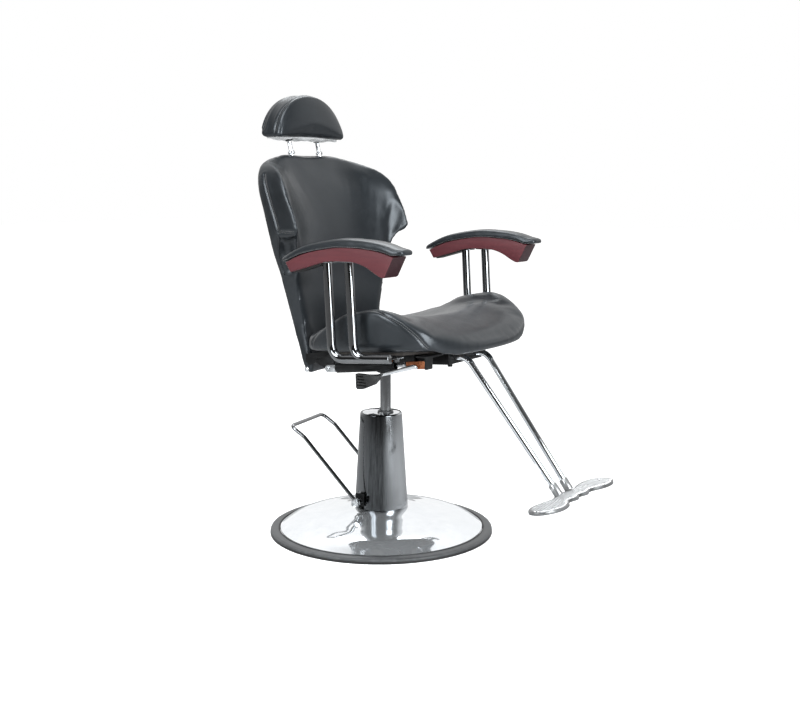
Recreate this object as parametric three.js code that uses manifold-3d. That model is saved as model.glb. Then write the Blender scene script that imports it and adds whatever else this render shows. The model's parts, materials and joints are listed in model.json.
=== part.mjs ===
// Hydraulic barber chair. Millimetres, +Z up, origin on the floor at the centre of the round base.
// The chair faces -Y, so the sitter's left hand is at +X.

import * as THREE from 'three';
import { mergeVertices } from 'three/addons/utils/BufferGeometryUtils.js';
import Module from 'manifold-3d';

const wasm = await Module();
wasm.setup();

// ---------------------------------------------------------------- driving dimensions
const GAP = 0.35; // air between neighbouring pieces

const BASE = { radius: 292, ringWidth: 25, ringHeight: 14, plateThickness: 8, domeTop: 66 };
// Height of the dome's outer face at some radii: it grows steeper towards the rim.
const DOME = [[73, BASE.domeTop], [120, 57.5], [170, 48.5], [212, 41], [226, 37], [245, 28], [266, 15]];
const SLEEVE = { bottomRadius: 70, topRadius: 55, topZ: 318, wall: 1.6 };
const RAM = { y: -14, radius: 14, bottomZ: 105, topZ: 446 };
const PUMP = { bodyRadius: 34, boreRadius: 25, footRadius: 52, footTop: 22, tubeTop: 296, glandTop: 314 };
const BEARING = { out: 34, halfWidth: 6 }; // the pedal shaft's two bearing blocks
const PEDAL = {
  yaw: THREE.MathUtils.degToRad(10),
  pivotOut: 30,
  pivotZ: 92,
  halfWidth: 89,
  rodRadius: 5,
  shaftRadius: 7,
};
const PUMP_GUIDE = { out: PEDAL.pivotOut + 17, radius: 9, plungerRadius: 4.5, topZ: 66 };
const TILT = THREE.MathUtils.degToRad(-4); // seat mechanism leans back by four degrees
const MECHANISM_Z = 470; // height of the tilted mechanism's own origin, on the ram's axis

const ARM = {
  x: 315.5,
  tubeRadius: 10.6,
  railWidth: 55,
  padWidth: 66,
  rearTop: [-67, 726], // where the rear tube meets the rail, as [y, z]
  frontTop: [-128, 729],
  runEnd: [-246, 515.5], // front end of the run under the seat
};
const RECLINE = { y: -12, z: 498 }; // hinge line of the backrest
const LEVER = { radius: 38, halfSwing: THREE.MathUtils.degToRad(16.5) };
const GAS = { x: -220, cylinderRadius: 12, rodRadius: 4, pinRadius: 4 };
const PIN = { radius: 5, eyeRadius: 10, bracketX: 167, armX: 178 }; // the backrest's hinge
const HEADREST = { halfWidth: 139, y: 246, lowZ: 1023 };
const POST = { x: 59, radius: 5.5, lean: THREE.MathUtils.degToRad(14), y: 245.2, z: 1007 };
const BACK = { padLowZ: 528, padTopZ: 976, coverLowZ: 437, coverTopZ: 981, coverThickness: 7 };
const FOOTREST = { tubeRadius: 8, topX: 48, bottomX: 29, endY: -520, endZ: 190, bend: [-285, 492] };

// ---------------------------------------------------------------- finishes
const finish = (color, roughness, metalness) => ({ color, roughness, metalness });
const CHROME = finish(0xdfe3e6, 0.06, 1);
const BRUSHED = finish(0x9a9fa2, 0.3, 1);
const BLACK_STEEL = finish(0x16171a, 0.45, 0.4);
const STEEL = finish(0x8b8f92, 0.35, 1);
const ZINC = finish(0xaeb3b5, 0.4, 1);
const COPPER = finish(0x9a5636, 0.4, 0.8);
const CAST_ALUMINIUM = finish(0xd5d6d4, 0.35, 0.9);
const RUBBER = finish(0x4a4b4f, 0.6, 0);
const BLACK_PLASTIC = finish(0x151517, 0.5, 0);
const LEATHER = finish(0x1c1d20, 0.38, 0);
const MAHOGANY = finish(0x6b3038, 0.35, 0);
const PLYWOOD = finish(0x2b2622, 0.8, 0);

// ---------------------------------------------------------------- assembly helpers
const chair = new THREE.Group();

function addPart(name, geometry, look, parent = chair) {
  const mesh = new THREE.Mesh(geometry, new THREE.MeshStandardMaterial(look));
  mesh.name = name;
  parent.add(mesh);
  return mesh;
}

const vec = (x, y, z) => new THREE.Vector3(x, y, z);

// ---------------------------------------------------------------- solids
function toSolid(geometry) {
  const bare = geometry.clone();
  bare.deleteAttribute('normal');
  bare.deleteAttribute('uv');
  const merged = mergeVertices(bare, 1e-4);
  const triangles = [];
  const index = merged.index.array;
  for (let i = 0; i < index.length; i += 3) {
    const [a, b, c] = [index[i], index[i + 1], index[i + 2]];
    if (a !== b && b !== c && c !== a) triangles.push(a, b, c);
  }
  const vertProperties = new Float32Array(merged.attributes.position.array);
  const triVerts = new Uint32Array(triangles);
  return new wasm.Manifold(new wasm.Mesh({ numProp: 3, vertProperties, triVerts }));
}

function toGeometry(solid) {
  const mesh = solid.getMesh();
  const geometry = new THREE.BufferGeometry();
  geometry.setAttribute('position', new THREE.BufferAttribute(mesh.vertProperties, 3));
  geometry.setIndex(new THREE.BufferAttribute(mesh.triVerts, 1));
  geometry.computeVertexNormals();
  return geometry;
}

function join(first, ...others) {
  return toGeometry(others.reduce((sum, next) => sum.add(toSolid(next)), toSolid(first)));
}

function cut(body, ...tools) {
  return toGeometry(tools.reduce((left, tool) => left.subtract(toSolid(tool)), toSolid(body)));
}

// A box given by its lowest and highest corners.
function block(low, high) {
  const size = high.clone().sub(low);
  const centre = low.clone().add(high).multiplyScalar(0.5);
  return new THREE.BoxGeometry(size.x, size.y, size.z).translate(centre.x, centre.y, centre.z);
}

// A round bar between two points. Six sides give a hexagon.
function bar(from, to, radius, sides = 20) {
  const run = to.clone().sub(from);
  const geometry = new THREE.CylinderGeometry(radius, radius, run.length(), sides);
  const turn = new THREE.Quaternion().setFromUnitVectors(vec(0, 1, 0), run.clone().normalize());
  const middle = from.clone().add(to).multiplyScalar(0.5);
  return geometry.applyQuaternion(turn).translate(middle.x, middle.y, middle.z);
}

// A turned piece about +Z from [radius, height] pairs; the profile closes on itself or on the axis.
function turned(profile, segments = 40, x = 0, y = 0) {
  const points = profile.map(([radius, height]) => new THREE.Vector2(radius, height));
  return new THREE.LatheGeometry(points, segments).rotateX(Math.PI / 2).translate(x, y, 0);
}

// A path of straight runs joined by round bends, sampled only where the tube needs a section.
class BentPath extends THREE.Curve {
  constructor(corners, bendRadius, stepsPerBend) {
    super();
    this.stations = [];
    corners.forEach((corner, i) => {
      if (i === 0 || i === corners.length - 1) {
        const other = corners[i === 0 ? 1 : i - 1];
        const tangent = i === 0 ? other.clone().sub(corner) : corner.clone().sub(other);
        this.stations.push({ point: corner.clone(), tangent: tangent.normalize() });
      } else {
        this.addBend(corners[i - 1], corner, corners[i + 1], bendRadius, stepsPerBend);
      }
    });
    this.steps = this.stations.length - 1;
  }

  addBend(before, corner, after, bendRadius, stepsPerBend) {
    const back = before.clone().sub(corner).normalize();
    const ahead = after.clone().sub(corner).normalize();
    const half = back.angleTo(ahead) / 2;
    const centre = back.clone().add(ahead).normalize();
    centre.multiplyScalar(bendRadius / Math.sin(half)).add(corner);
    const start = corner.clone().addScaledVector(back, bendRadius / Math.tan(half)).sub(centre);
    const axis = start.clone().cross(back.clone().negate()).normalize();
    const sweep = Math.PI - 2 * half;
    for (let k = 0; k <= stepsPerBend; k++) {
      const angle = (sweep * k) / stepsPerBend;
      const point = start.clone().applyAxisAngle(axis, angle).add(centre);
      const tangent = back.clone().negate().applyAxisAngle(axis, angle);
      this.stations.push({ point, tangent });
    }
  }

  getPointAt(u) {
    return this.stations[Math.round(u * this.steps)].point.clone();
  }

  getTangentAt(u) {
    return this.stations[Math.round(u * this.steps)].tangent.clone();
  }
}

function pipe(corners, bendRadius, tubeRadius, sides = 14, stepsPerBend = 5) {
  const path = new BentPath(corners, bendRadius, stepsPerBend);
  const rim = Array.from({ length: sides }, (_, i) => {
    const angle = (2 * Math.PI * i) / sides;
    return new THREE.Vector2(tubeRadius * Math.cos(angle), tubeRadius * Math.sin(angle));
  });
  const options = { steps: path.steps, extrudePath: path, bevelEnabled: false };
  return new THREE.ExtrudeGeometry(new THREE.Shape(rim), options);
}

// A plate drawn in the (y, z) plane and given a width along x from x = low to x = high.
function sidePlate(shape, low, high, curveSegments = 8) {
  const options = { depth: high - low, bevelEnabled: false, curveSegments };
  const toRow = new THREE.Matrix4().makeBasis(vec(0, 1, 0), vec(0, 0, 1), vec(1, 0, 0));
  return new THREE.ExtrudeGeometry(shape, options).applyMatrix4(toRow).translate(low, 0, 0);
}

// A plate drawn in the (x, y) plane with its underside at the given height.
function flatPlate(shape, z, thickness, curveSegments = 8) {
  const options = { depth: thickness, bevelEnabled: false, curveSegments };
  return new THREE.ExtrudeGeometry(shape, options).translate(0, 0, z);
}

function polygon(points) {
  return new THREE.Shape(points.map(([a, b]) => new THREE.Vector2(a, b)));
}

function smoothOutline(points) {
  const start = new THREE.Vector2(...points[0]);
  const rest = points.slice(1).map(([a, b]) => new THREE.Vector2(a, b));
  return new THREE.Shape().moveTo(start.x, start.y).splineThru([...rest, start]);
}

// A padded form: a block whose every surface point (u, v, w in -1..1) is moved to where form() says.
function moulded(nu, nv, nw, form) {
  const geometry = new THREE.BoxGeometry(2, 2, 2, nu, nv, nw);
  const position = geometry.attributes.position;
  for (let i = 0; i < position.count; i++) {
    const [x, y, z] = form(position.getX(i), position.getY(i), position.getZ(i));
    position.setXYZ(i, x, y, z);
  }
  geometry.computeVertexNormals();
  return geometry;
}

// Straight-line interpolation in a list of [key, value] pairs with rising keys.
function along(table, key) {
  const last = table.length - 1;
  const i = Math.min(Math.max(table.findIndex(([k]) => k > key), 1), last);
  const upper = key >= table[last][0] ? last : i;
  const [k0, v0] = table[upper - 1];
  const [k1, v1] = table[upper];
  return v0 + ((v1 - v0) * (Math.min(Math.max(key, table[0][0]), table[last][0]) - k0)) / (k1 - k0);
}

// ---------------------------------------------------------------- round base
function buildBase() {
  const ringInner = BASE.radius - BASE.ringWidth;
  addPart('base_plate', turned([[0, 0], [ringInner - 7, 0], [ringInner - 7, BASE.plateThickness],
    [0, BASE.plateThickness]], 40), STEEL);

  const shell = 1.8;
  const outer = [[62, BASE.domeTop], ...DOME];
  const inner = outer.map(([radius, height]) => [radius, height - shell]).reverse();
  addPart('base_cover', turned([...outer, ...inner, outer[0]].reverse(), 44), CHROME);

  const profile = [[ringInner, 0], [BASE.radius - 3, 0], [BASE.radius, 3], [BASE.radius, 10],
    [BASE.radius - 4, BASE.ringHeight], [ringInner + 3, BASE.ringHeight], [ringInner, 11], [ringInner, 0]];
  addPart('base_ring', turned(profile, 44), RUBBER);
}

// ---------------------------------------------------------------- hydraulic pump
function buildPump() {
  const foot = BASE.plateThickness + GAP;
  const { bodyRadius, boreRadius, footRadius, footTop, tubeTop } = PUMP;
  const body = [[0, foot], [footRadius, foot], [footRadius, footTop - 4], [bodyRadius, footTop],
    [bodyRadius, tubeTop], [boreRadius, tubeTop], [boreRadius, footTop + 6], [0, footTop + 6]];
  const guideRoom = bar(pumpPoint(0, PUMP_GUIDE.out - 1, 0), pumpPoint(0, PUMP_GUIDE.out - 1, 60), 11);
  const bearingRooms = [-1, 1].map((side) => {
    const centre = side * BEARING.out;
    const half = BEARING.halfWidth + 1;
    return pumpBlock([centre - half, PEDAL.pivotOut - 10, 0], [centre + half, PEDAL.pivotOut + 10, 60]);
  });
  const boltCircle = 30; // half the square the four foot bolts sit on
  const footBolts = [[-1, -1], [-1, 1], [1, -1], [1, 1]].map(([side, end]) => {
    const [x, y] = [side * boltCircle, RAM.y + end * boltCircle];
    return bar(vec(x, y, footTop - 6), vec(x, y, footTop + 5), 6, 6);
  });
  const casting = join(turned(body, 36, 0, RAM.y), ...footBolts);
  addPart('pump_body', cut(casting, guideRoom, ...bearingRooms), BLACK_STEEL);

  const [bore, glandLow, glandRadius] = [RAM.radius + GAP, tubeTop + GAP, bodyRadius + 2];
  const gland = [[bore, glandLow], [glandRadius, glandLow], [glandRadius, PUMP.glandTop - 3],
    [glandRadius - 3, PUMP.glandTop], [bore, PUMP.glandTop], [bore, glandLow]];
  addPart('pump_gland', turned(gland, 36, 0, RAM.y), STEEL);
}

// A point in the pump's own frame: across the pedal, out towards the pedal, and up.
function pumpPoint(across, out, z) {
  const [c, s] = [Math.cos(PEDAL.yaw), Math.sin(PEDAL.yaw)];
  return vec(across * c - out * s, across * s + out * c, z);
}

function pumpBlock(low, high) {
  return block(vec(...low), vec(...high)).rotateZ(PEDAL.yaw);
}

function buildSleeve() {
  const bottom = BASE.domeTop + GAP;
  const { bottomRadius, topRadius, topZ, wall } = SLEEVE;
  const profile = [[bottomRadius, bottom], [topRadius, topZ - 3], [topRadius - 2, topZ], [topRadius - 5, topZ],
    [topRadius - wall - 1, topZ - 4], [bottomRadius - wall, bottom], [bottomRadius, bottom]];
  const slotHalf = 11;
  const slotTop = 122;
  const slots = [-1, 1].map((side) => {
    const [low, high] = [side * 66 - 16, side * 66 + 16];
    return pumpBlock([low, PEDAL.pivotOut - slotHalf, bottom - 2], [high, PEDAL.pivotOut + slotHalf, slotTop]);
  });
  addPart('pump_sleeve', cut(turned(profile, 48), ...slots), BRUSHED);

  const capLow = PUMP.glandTop + GAP;
  const cap = turned([[0, capLow], [topRadius - 6, capLow], [topRadius - 6, capLow + 3], [0, capLow + 3]], 40);
  const ramHole = bar(vec(0, RAM.y, capLow - 5), vec(0, RAM.y, capLow + 9), RAM.radius + 1.5, 28);
  addPart('sleeve_cap', cut(cap, ramHole), CHROME);

  const wiperLow = capLow + 3 + GAP;
  const wiper = [[RAM.radius + GAP, wiperLow], [21, wiperLow], [21, wiperLow + 3], [17, wiperLow + 7],
    [RAM.radius + GAP, wiperLow + 7], [RAM.radius + GAP, wiperLow]];
  addPart('ram_wiper', turned(wiper, 28, 0, RAM.y), RUBBER);

  for (const side of [-1, 1]) {
    const name = side < 0 ? 'right' : 'left';
    const face = side * (bottomRadius + 1);
    const guard = pumpBlock([face - 1.5, PEDAL.pivotOut - slotHalf - 2, PEDAL.pivotZ - 14],
      [face + 1.5, PEDAL.pivotOut + slotHalf, PEDAL.pivotZ + 20]);
    const boss = bar(pumpPoint(face - 4, PEDAL.pivotOut, PEDAL.pivotZ),
      pumpPoint(face + 4, PEDAL.pivotOut, PEDAL.pivotZ), PEDAL.shaftRadius + 0.5, 20);
    addPart(`shaft_guard_${name}`, cut(guard, boss, turned(profile, 48)), BLACK_STEEL);
  }
}

// ---------------------------------------------------------------- foot pedal
function buildPedal() {
  const { pivotOut, pivotZ, halfWidth, rodRadius, shaftRadius } = PEDAL;
  const shaftEnd = halfWidth + 9;
  addPart('pedal_shaft', bar(pumpPoint(-shaftEnd, pivotOut, pivotZ), pumpPoint(shaftEnd, pivotOut, pivotZ),
    shaftRadius, 16), STEEL);

  for (const side of [-1, 1]) {
    const name = side < 0 ? 'right' : 'left';
    const centre = side * BEARING.out;
    const bearing = pumpBlock([centre - BEARING.halfWidth, pivotOut - 9, BASE.plateThickness + GAP],
      [centre + BEARING.halfWidth, pivotOut + 9, pivotZ + 11]);
    const bore = bar(pumpPoint(centre - 10, pivotOut, pivotZ), pumpPoint(centre + 10, pivotOut, pivotZ),
      shaftRadius + GAP, 16);
    addPart(`shaft_bearing_${name}`, cut(bearing, bore), BLACK_STEEL);
    addPart(`pedal_nut_${name}`, cut(
      bar(pumpPoint(side * (halfWidth + 6 + GAP), pivotOut, pivotZ),
        pumpPoint(side * (halfWidth + 12), pivotOut, pivotZ), 10.5, 6),
      bar(pumpPoint(side * (halfWidth + 2), pivotOut, pivotZ),
        pumpPoint(side * (shaftEnd + GAP), pivotOut, pivotZ), shaftRadius + GAP, 16)), ZINC);
  }

  const loopEnd = (side) => pumpPoint(side * halfWidth, pivotOut + 7, pivotZ + 7.5);
  const knee = { out: pivotOut + 150, z: pivotZ + 160 };
  const tread = { out: pivotOut + 189, z: pivotZ + 186 };
  const corners = [
    loopEnd(-1),
    pumpPoint(-halfWidth, knee.out, knee.z),
    pumpPoint(-halfWidth, tread.out, tread.z),
    pumpPoint(halfWidth, tread.out, tread.z),
    pumpPoint(halfWidth, knee.out, knee.z),
    loopEnd(1),
  ];
  const eyes = [-1, 1].map((side) => bar(pumpPoint(side * (halfWidth - 6), pivotOut, pivotZ),
    pumpPoint(side * (halfWidth + 6), pivotOut, pivotZ), 12.5, 20));
  const shaftRoom = bar(pumpPoint(-shaftEnd - 5, pivotOut, pivotZ), pumpPoint(shaftEnd + 5, pivotOut, pivotZ),
    shaftRadius + GAP, 16);
  const loop = join(pipe(corners, 14, rodRadius, 12, 4), ...eyes);
  addPart('pedal_loop', cut(loop, shaftRoom), CHROME);

  const cam = join(
    bar(pumpPoint(-9, pivotOut, pivotZ), pumpPoint(9, pivotOut, pivotZ), 9.5, 20),
    pumpBlock([-9, pivotOut, pivotZ - 5], [9, pivotOut + 21, pivotZ + 6]));
  addPart('pedal_cam', cut(cam, shaftRoom), STEEL);

  const plungerTop = pivotZ - 5 - 1;
  const { out, radius, plungerRadius, topZ } = PUMP_GUIDE;
  const plunger = turned([[0, 46], [plungerRadius, 46], [plungerRadius, plungerTop - 4], [7, plungerTop - 4],
    [7, plungerTop], [0, plungerTop]], 20);
  const seat = pumpPoint(0, out, 0);
  addPart('pump_plunger', plunger.translate(seat.x, seat.y, 0), STEEL);
  const guideLow = BASE.plateThickness + GAP;
  const guideBore = plungerRadius + GAP;
  const guide = turned([[0, guideLow], [radius, guideLow], [radius, topZ], [guideBore, topZ],
    [guideBore, guideLow + 16], [0, guideLow + 16]], 20);
  addPart('plunger_guide', guide.translate(seat.x, seat.y, 0), BLACK_STEEL);
}

// ---------------------------------------------------------------- lift ram
function buildRam() {
  const { radius, bottomZ, topZ, y } = RAM;
  const pistonRadius = PUMP.boreRadius - GAP;
  addPart('lift_ram', turned([[0, bottomZ], [pistonRadius, bottomZ], [pistonRadius, bottomZ + 18],
    [radius, bottomZ + 18], [radius, topZ - 4], [radius - 3, topZ], [0, topZ]], 28, 0, y), CHROME);
}

// ---------------------------------------------------------------- seat mechanism
// Everything here is drawn in the tilted mechanism frame, whose origin is on the ram's axis.
const mechanism = new THREE.Group();
mechanism.position.set(0, RAM.y, MECHANISM_Z);
mechanism.rotation.x = TILT;
chair.add(mechanism);

// A point of the chair's frame, given in the tilted mechanism frame.
function tilted(x, y, z) {
  return vec(x, y - RAM.y, z - MECHANISM_Z).applyAxisAngle(vec(1, 0, 0), -TILT);
}

const PLATE_TOP = 30;
const BOARD_TOP = 42;

function buildMechanism() {
  const bore = RAM.radius + GAP;
  const [hubLow, hubTop] = [424, 455];
  const hub = [[bore, hubLow], [22, hubLow], [26, hubLow + 5], [26, hubTop], [0, hubTop], [0, RAM.topZ + 1],
    [bore, RAM.topZ + 1], [bore, hubLow]];
  addPart('swivel_hub', turned(hub, 28, 0, RAM.y), BLACK_STEEL);

  const channel = cut(block(vec(-95, -150, -12), vec(95, 60, PLATE_TOP - 5 - GAP)),
    block(vec(-90, -160, -7), vec(90, 70, PLATE_TOP - 10)));
  addPart('mount_channel', channel, BLACK_STEEL, mechanism);
  const plate = block(vec(-160, -185, PLATE_TOP - 5), vec(160, 70, PLATE_TOP - GAP));
  addPart('seat_plate', plate, BLACK_STEEL, mechanism);

  const board = polygon([[-252, -225], [-205, -262], [205, -262], [252, -225], [252, -40], [150, -30],
    [150, 95], [-150, 95], [-150, -30], [-252, -40]]);
  addPart('seat_board', flatPlate(board, PLATE_TOP, BOARD_TOP - PLATE_TOP - GAP), PLYWOOD, mechanism);

  for (const side of [-1, 1]) buildHingeBracket(side);
}

// The bracket that carries the backrest's pivot: a foot bolted under the seat plate, and an ear.
function buildHingeBracket(side) {
  const name = side < 0 ? 'right' : 'left';
  const pivot = tilted(0, RECLINE.y, RECLINE.z);
  const x = side * PIN.bracketX;
  const thickness = 3;
  const foot = block(vec(Math.min(x, side * 120), pivot.y - 32, PLATE_TOP - 9),
    vec(Math.max(x, side * 120), pivot.y + 22, PLATE_TOP - 5 - GAP));
  const web = block(vec(x - thickness, pivot.y - 32, PLATE_TOP - 9),
    vec(x + thickness, pivot.y + 10, pivot.z));
  const earEnds = [vec(x - thickness, pivot.y, pivot.z), vec(x + thickness, pivot.y, pivot.z)];
  const ear = bar(...earEnds, PIN.eyeRadius, 24);
  const bore = bar(vec(x - 9, pivot.y, pivot.z), vec(x + 9, pivot.y, pivot.z), PIN.radius + GAP, 16);
  addPart(`hinge_bracket_${name}`, cut(join(foot, web, ear), bore), BLACK_STEEL, mechanism);
}

// ---------------------------------------------------------------- seat cushion
function seatRearY(x) {
  return 120 - 90 * Math.pow(Math.abs(x) / 270, 2.6);
}

function seatFrontY(x) {
  return -335 + 36 * Math.pow(Math.abs(x) / 205, 2.4);
}

function seatHalfWidth(v) {
  return 283 - 30 * Math.pow(Math.max(0, v), 3) - 42 * Math.pow(Math.max(0, -v), 3);
}

// Height of the seat's crown along its middle line, and how strongly its sides rise, both by y.
const SEAT_CROWN = [[-335, 540], [-315, 556], [-290, 563], [-260, 569], [-200, 579], [-140, 583], [-60, 578],
  [0, 566], [60, 556], [120, 540]];
const SEAT_BOLSTER = [[-300, 0.2], [-240, 0.55], [-170, 1], [-70, 1], [30, 0.3], [100, 0]];

function seatTop(x, y) {
  const bolster = 30 * Math.pow(Math.abs(x) / 270, 2.2);
  return along(SEAT_CROWN, y) + bolster * along(SEAT_BOLSTER, y);
}

// u runs across the seat, v from front to rear, w from the underside to the top.
function seatForm(u, v, w) {
  const inset = 1 - 0.045 * Math.pow(Math.abs(w), 6);
  const x = u * seatHalfWidth(v) * inset * (1 - 0.06 * v ** 8);
  const centreY = (seatFrontY(x) + seatRearY(x)) / 2;
  const y = centreY + v * inset * ((seatRearY(x) - seatFrontY(x)) / 2);
  const noseDrop = 22 * Math.min(1, Math.max(0, (-306 - y) / 12));
  const low = MECHANISM_Z + BOARD_TOP + 2.5 - Math.sin(-TILT) * (y - RAM.y) - noseDrop;
  const edge = Math.max(Math.abs(u), Math.abs(v));
  const high = seatTop(x, y) - 16 * Math.pow(edge, 8);
  return [x, y, low + ((high - low) * (w + 1)) / 2];
}

function buildSeatCushion() {
  addPart('seat_cushion', moulded(12, 12, 3, seatForm), LEATHER);
}

// ---------------------------------------------------------------- armrests
function buildArm(side) {
  const name = side < 0 ? 'right' : 'left';
  const x = side * ARM.x;
  const runEnd = vec(x, ...ARM.runEnd);
  const rear = [vec(x, ...ARM.rearTop), vec(x, -79, 503), runEnd.clone().add(vec(0, 34, -2.5))];
  const front = [vec(x, ...ARM.frontTop), vec(x, -141, 508), runEnd];
  const plates = [rear[0], front[0]].map((top) => block(vec(x - 16, top.y - 22, top.z - 6),
    vec(x + 16, top.y + 22, top.z - 2)));
  const tab = block(vec(Math.min(side * 212, x), -212, 505.5), vec(Math.max(side * 212, x), -168, 510.5));
  tab.translate(0, 190, -508).rotateX(TILT).translate(0, -190, 504);
  const tubes = [pipe(rear, 32, ARM.tubeRadius, 16, 6), pipe(front, 32, ARM.tubeRadius, 16, 6)];
  const bolts = [-201, -178].map((y) => bar(vec(side * 228, y, 495), vec(side * 228, y, 503.5), 6.5, 6));
  addPart(`arm_frame_${name}`, join(...tubes, ...plates, tab, ...bolts), CHROME);
  addPart(`arm_rail_${name}`, buildRail(x), MAHOGANY);
  addPart(`arm_pad_${name}`, buildArmPad(x), LEATHER);
}

// The rail's side view, as [y, z] along its upper and lower edges.
const RAIL_TOP = [[-268, 746], [-240, 754], [-207, 760], [-170, 763], [-138, 764.5], [-68, 757], [-9, 743.5],
  [35, 725]];
const RAIL_BOTTOM = [[-246, 703], [-238, 700], [-223, 706], [-196, 721], [-169, 730], [-138, 732.5], [-73, 729],
  [-38, 719], [21, 703]];

function buildRail(x) {
  const outline = [...RAIL_TOP, ...[...RAIL_BOTTOM].reverse()];
  const half = ARM.railWidth / 2;
  const tubeRooms = [ARM.rearTop, ARM.frontTop].map(([y, z]) => block(vec(x - 17, y - 23, 690),
    vec(x + 17, y + 23, z + 1.6)));
  return cut(sidePlate(polygon(outline), x - half, x + half), ...tubeRooms);
}

// A padded strip that follows the rail's top line, crowned across its width.
function buildArmPad(x) {
  const [tipY, heelY] = [-291, 52];
  const spine = (y) => along([[tipY, 743], ...RAIL_TOP, [heelY, 718]], y);
  return moulded(4, 14, 2, (u, v, w) => {
    const y = tipY + ((heelY - tipY) * (v + 1)) / 2;
    const narrow = 1 - 0.22 * Math.pow(Math.abs(v), 8);
    const low = spine(y) + 2.2;
    const crown = 17 - 7 * u * u - 5 * Math.pow(Math.abs(v), 6);
    return [x + u * narrow * (ARM.padWidth / 2), y, low + (crown * (w + 1)) / 2];
  });
}

// ---------------------------------------------------------------- footrest
function buildFootrest() {
  const { tubeRadius, topX, bottomX, endY, endZ } = FOOTREST;
  for (const side of [-1, 1]) {
    const name = side < 0 ? 'right' : 'left';
    const x = side * topX;
    const corners = [vec(x, -170, 484.6), vec(x, ...FOOTREST.bend), vec(side * bottomX, endY, endZ)];
    addPart(`footrest_tube_${name}`, pipe(corners, 40, tubeRadius, 16, 6), CHROME);
  }

  const clamp = block(vec(-80, -38, -17), vec(80, 60, 17)).rotateX(TILT).translate(0, -215, 487.5);
  const bores = [-1, 1].map((side) => bar(vec(side * topX, -120, 481.4), vec(side * topX, -320, 494.2),
    tubeRadius + GAP, 16));
  const inMechanism = (room) => room.rotateX(TILT).translate(0, RAM.y, MECHANISM_Z);
  const channelRoom = inMechanism(block(vec(-96, -151, -13), vec(96, 61, PLATE_TOP)));
  const plateRoom = inMechanism(block(vec(-161, -186, PLATE_TOP - 5.4), vec(161, 71, PLATE_TOP + 20)));
  const clampBolts = [-1, 1].map((side) => {
    const [x, y] = [side * topX, -238];
    return bar(vec(x, y, 464), vec(x, y, 472), 7, 6);
  });
  addPart('footrest_clamp', cut(join(clamp, ...clampBolts), ...bores, channelRoom, plateRoom), BLACK_STEEL);
  addPart('footplate', buildFootplate(), CAST_ALUMINIUM);
}

// The butterfly plate: two foot lobes joined by a narrow waist, with tube sockets behind it.
function buildFootplate() {
  const half = [[0, -22], [26, -31], [60, -24], [98, -42], [142, -45], [176, -29], [191, -3], [177, 23],
    [140, 35], [98, 32], [58, 24], [26, 30], [0, 31]];
  const mirrored = half.slice(1, -1).reverse().map(([x, y]) => [-x, y]);
  const plate = flatPlate(smoothOutline([...half, ...mirrored]), -5, 10, 3);
  plate.rotateX(THREE.MathUtils.degToRad(-8)).translate(0, -547, 175);
  const { bottomX, endY, endZ, topX, bend } = FOOTREST;
  const parts = [-1, 1].map((side) => {
    const end = vec(side * bottomX, endY, endZ);
    const run = end.clone().sub(vec(side * topX, ...bend)).normalize();
    return { end, run };
  });
  const sockets = parts.map(({ end, run }) => bar(end.clone().addScaledVector(run, -16),
    end.clone().addScaledVector(run, 14), 11, 18));
  const rooms = parts.map(({ end, run }) => bar(end.clone().addScaledVector(run, -60),
    end.clone().addScaledVector(run, GAP), FOOTREST.tubeRadius + GAP, 18));
  return cut(join(plate, ...sockets), ...rooms);
}

// ---------------------------------------------------------------- recline lock
// The lock's axis runs from the backrest lever's pin to the bracket under the seat's front.
const GAS_PIN = {
  y: RECLINE.y + LEVER.radius * Math.sin(LEVER.halfSwing),
  z: RECLINE.z - LEVER.radius * Math.cos(LEVER.halfSwing),
};
const GAS_FRONT = { y: -279, z: 494 };

function gasPoint(distance) {
  const from = vec(GAS.x, GAS_PIN.y, GAS_PIN.z);
  const to = vec(GAS.x, GAS_FRONT.y, GAS_FRONT.z);
  return from.addScaledVector(to.sub(from).normalize(), distance);
}

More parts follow.
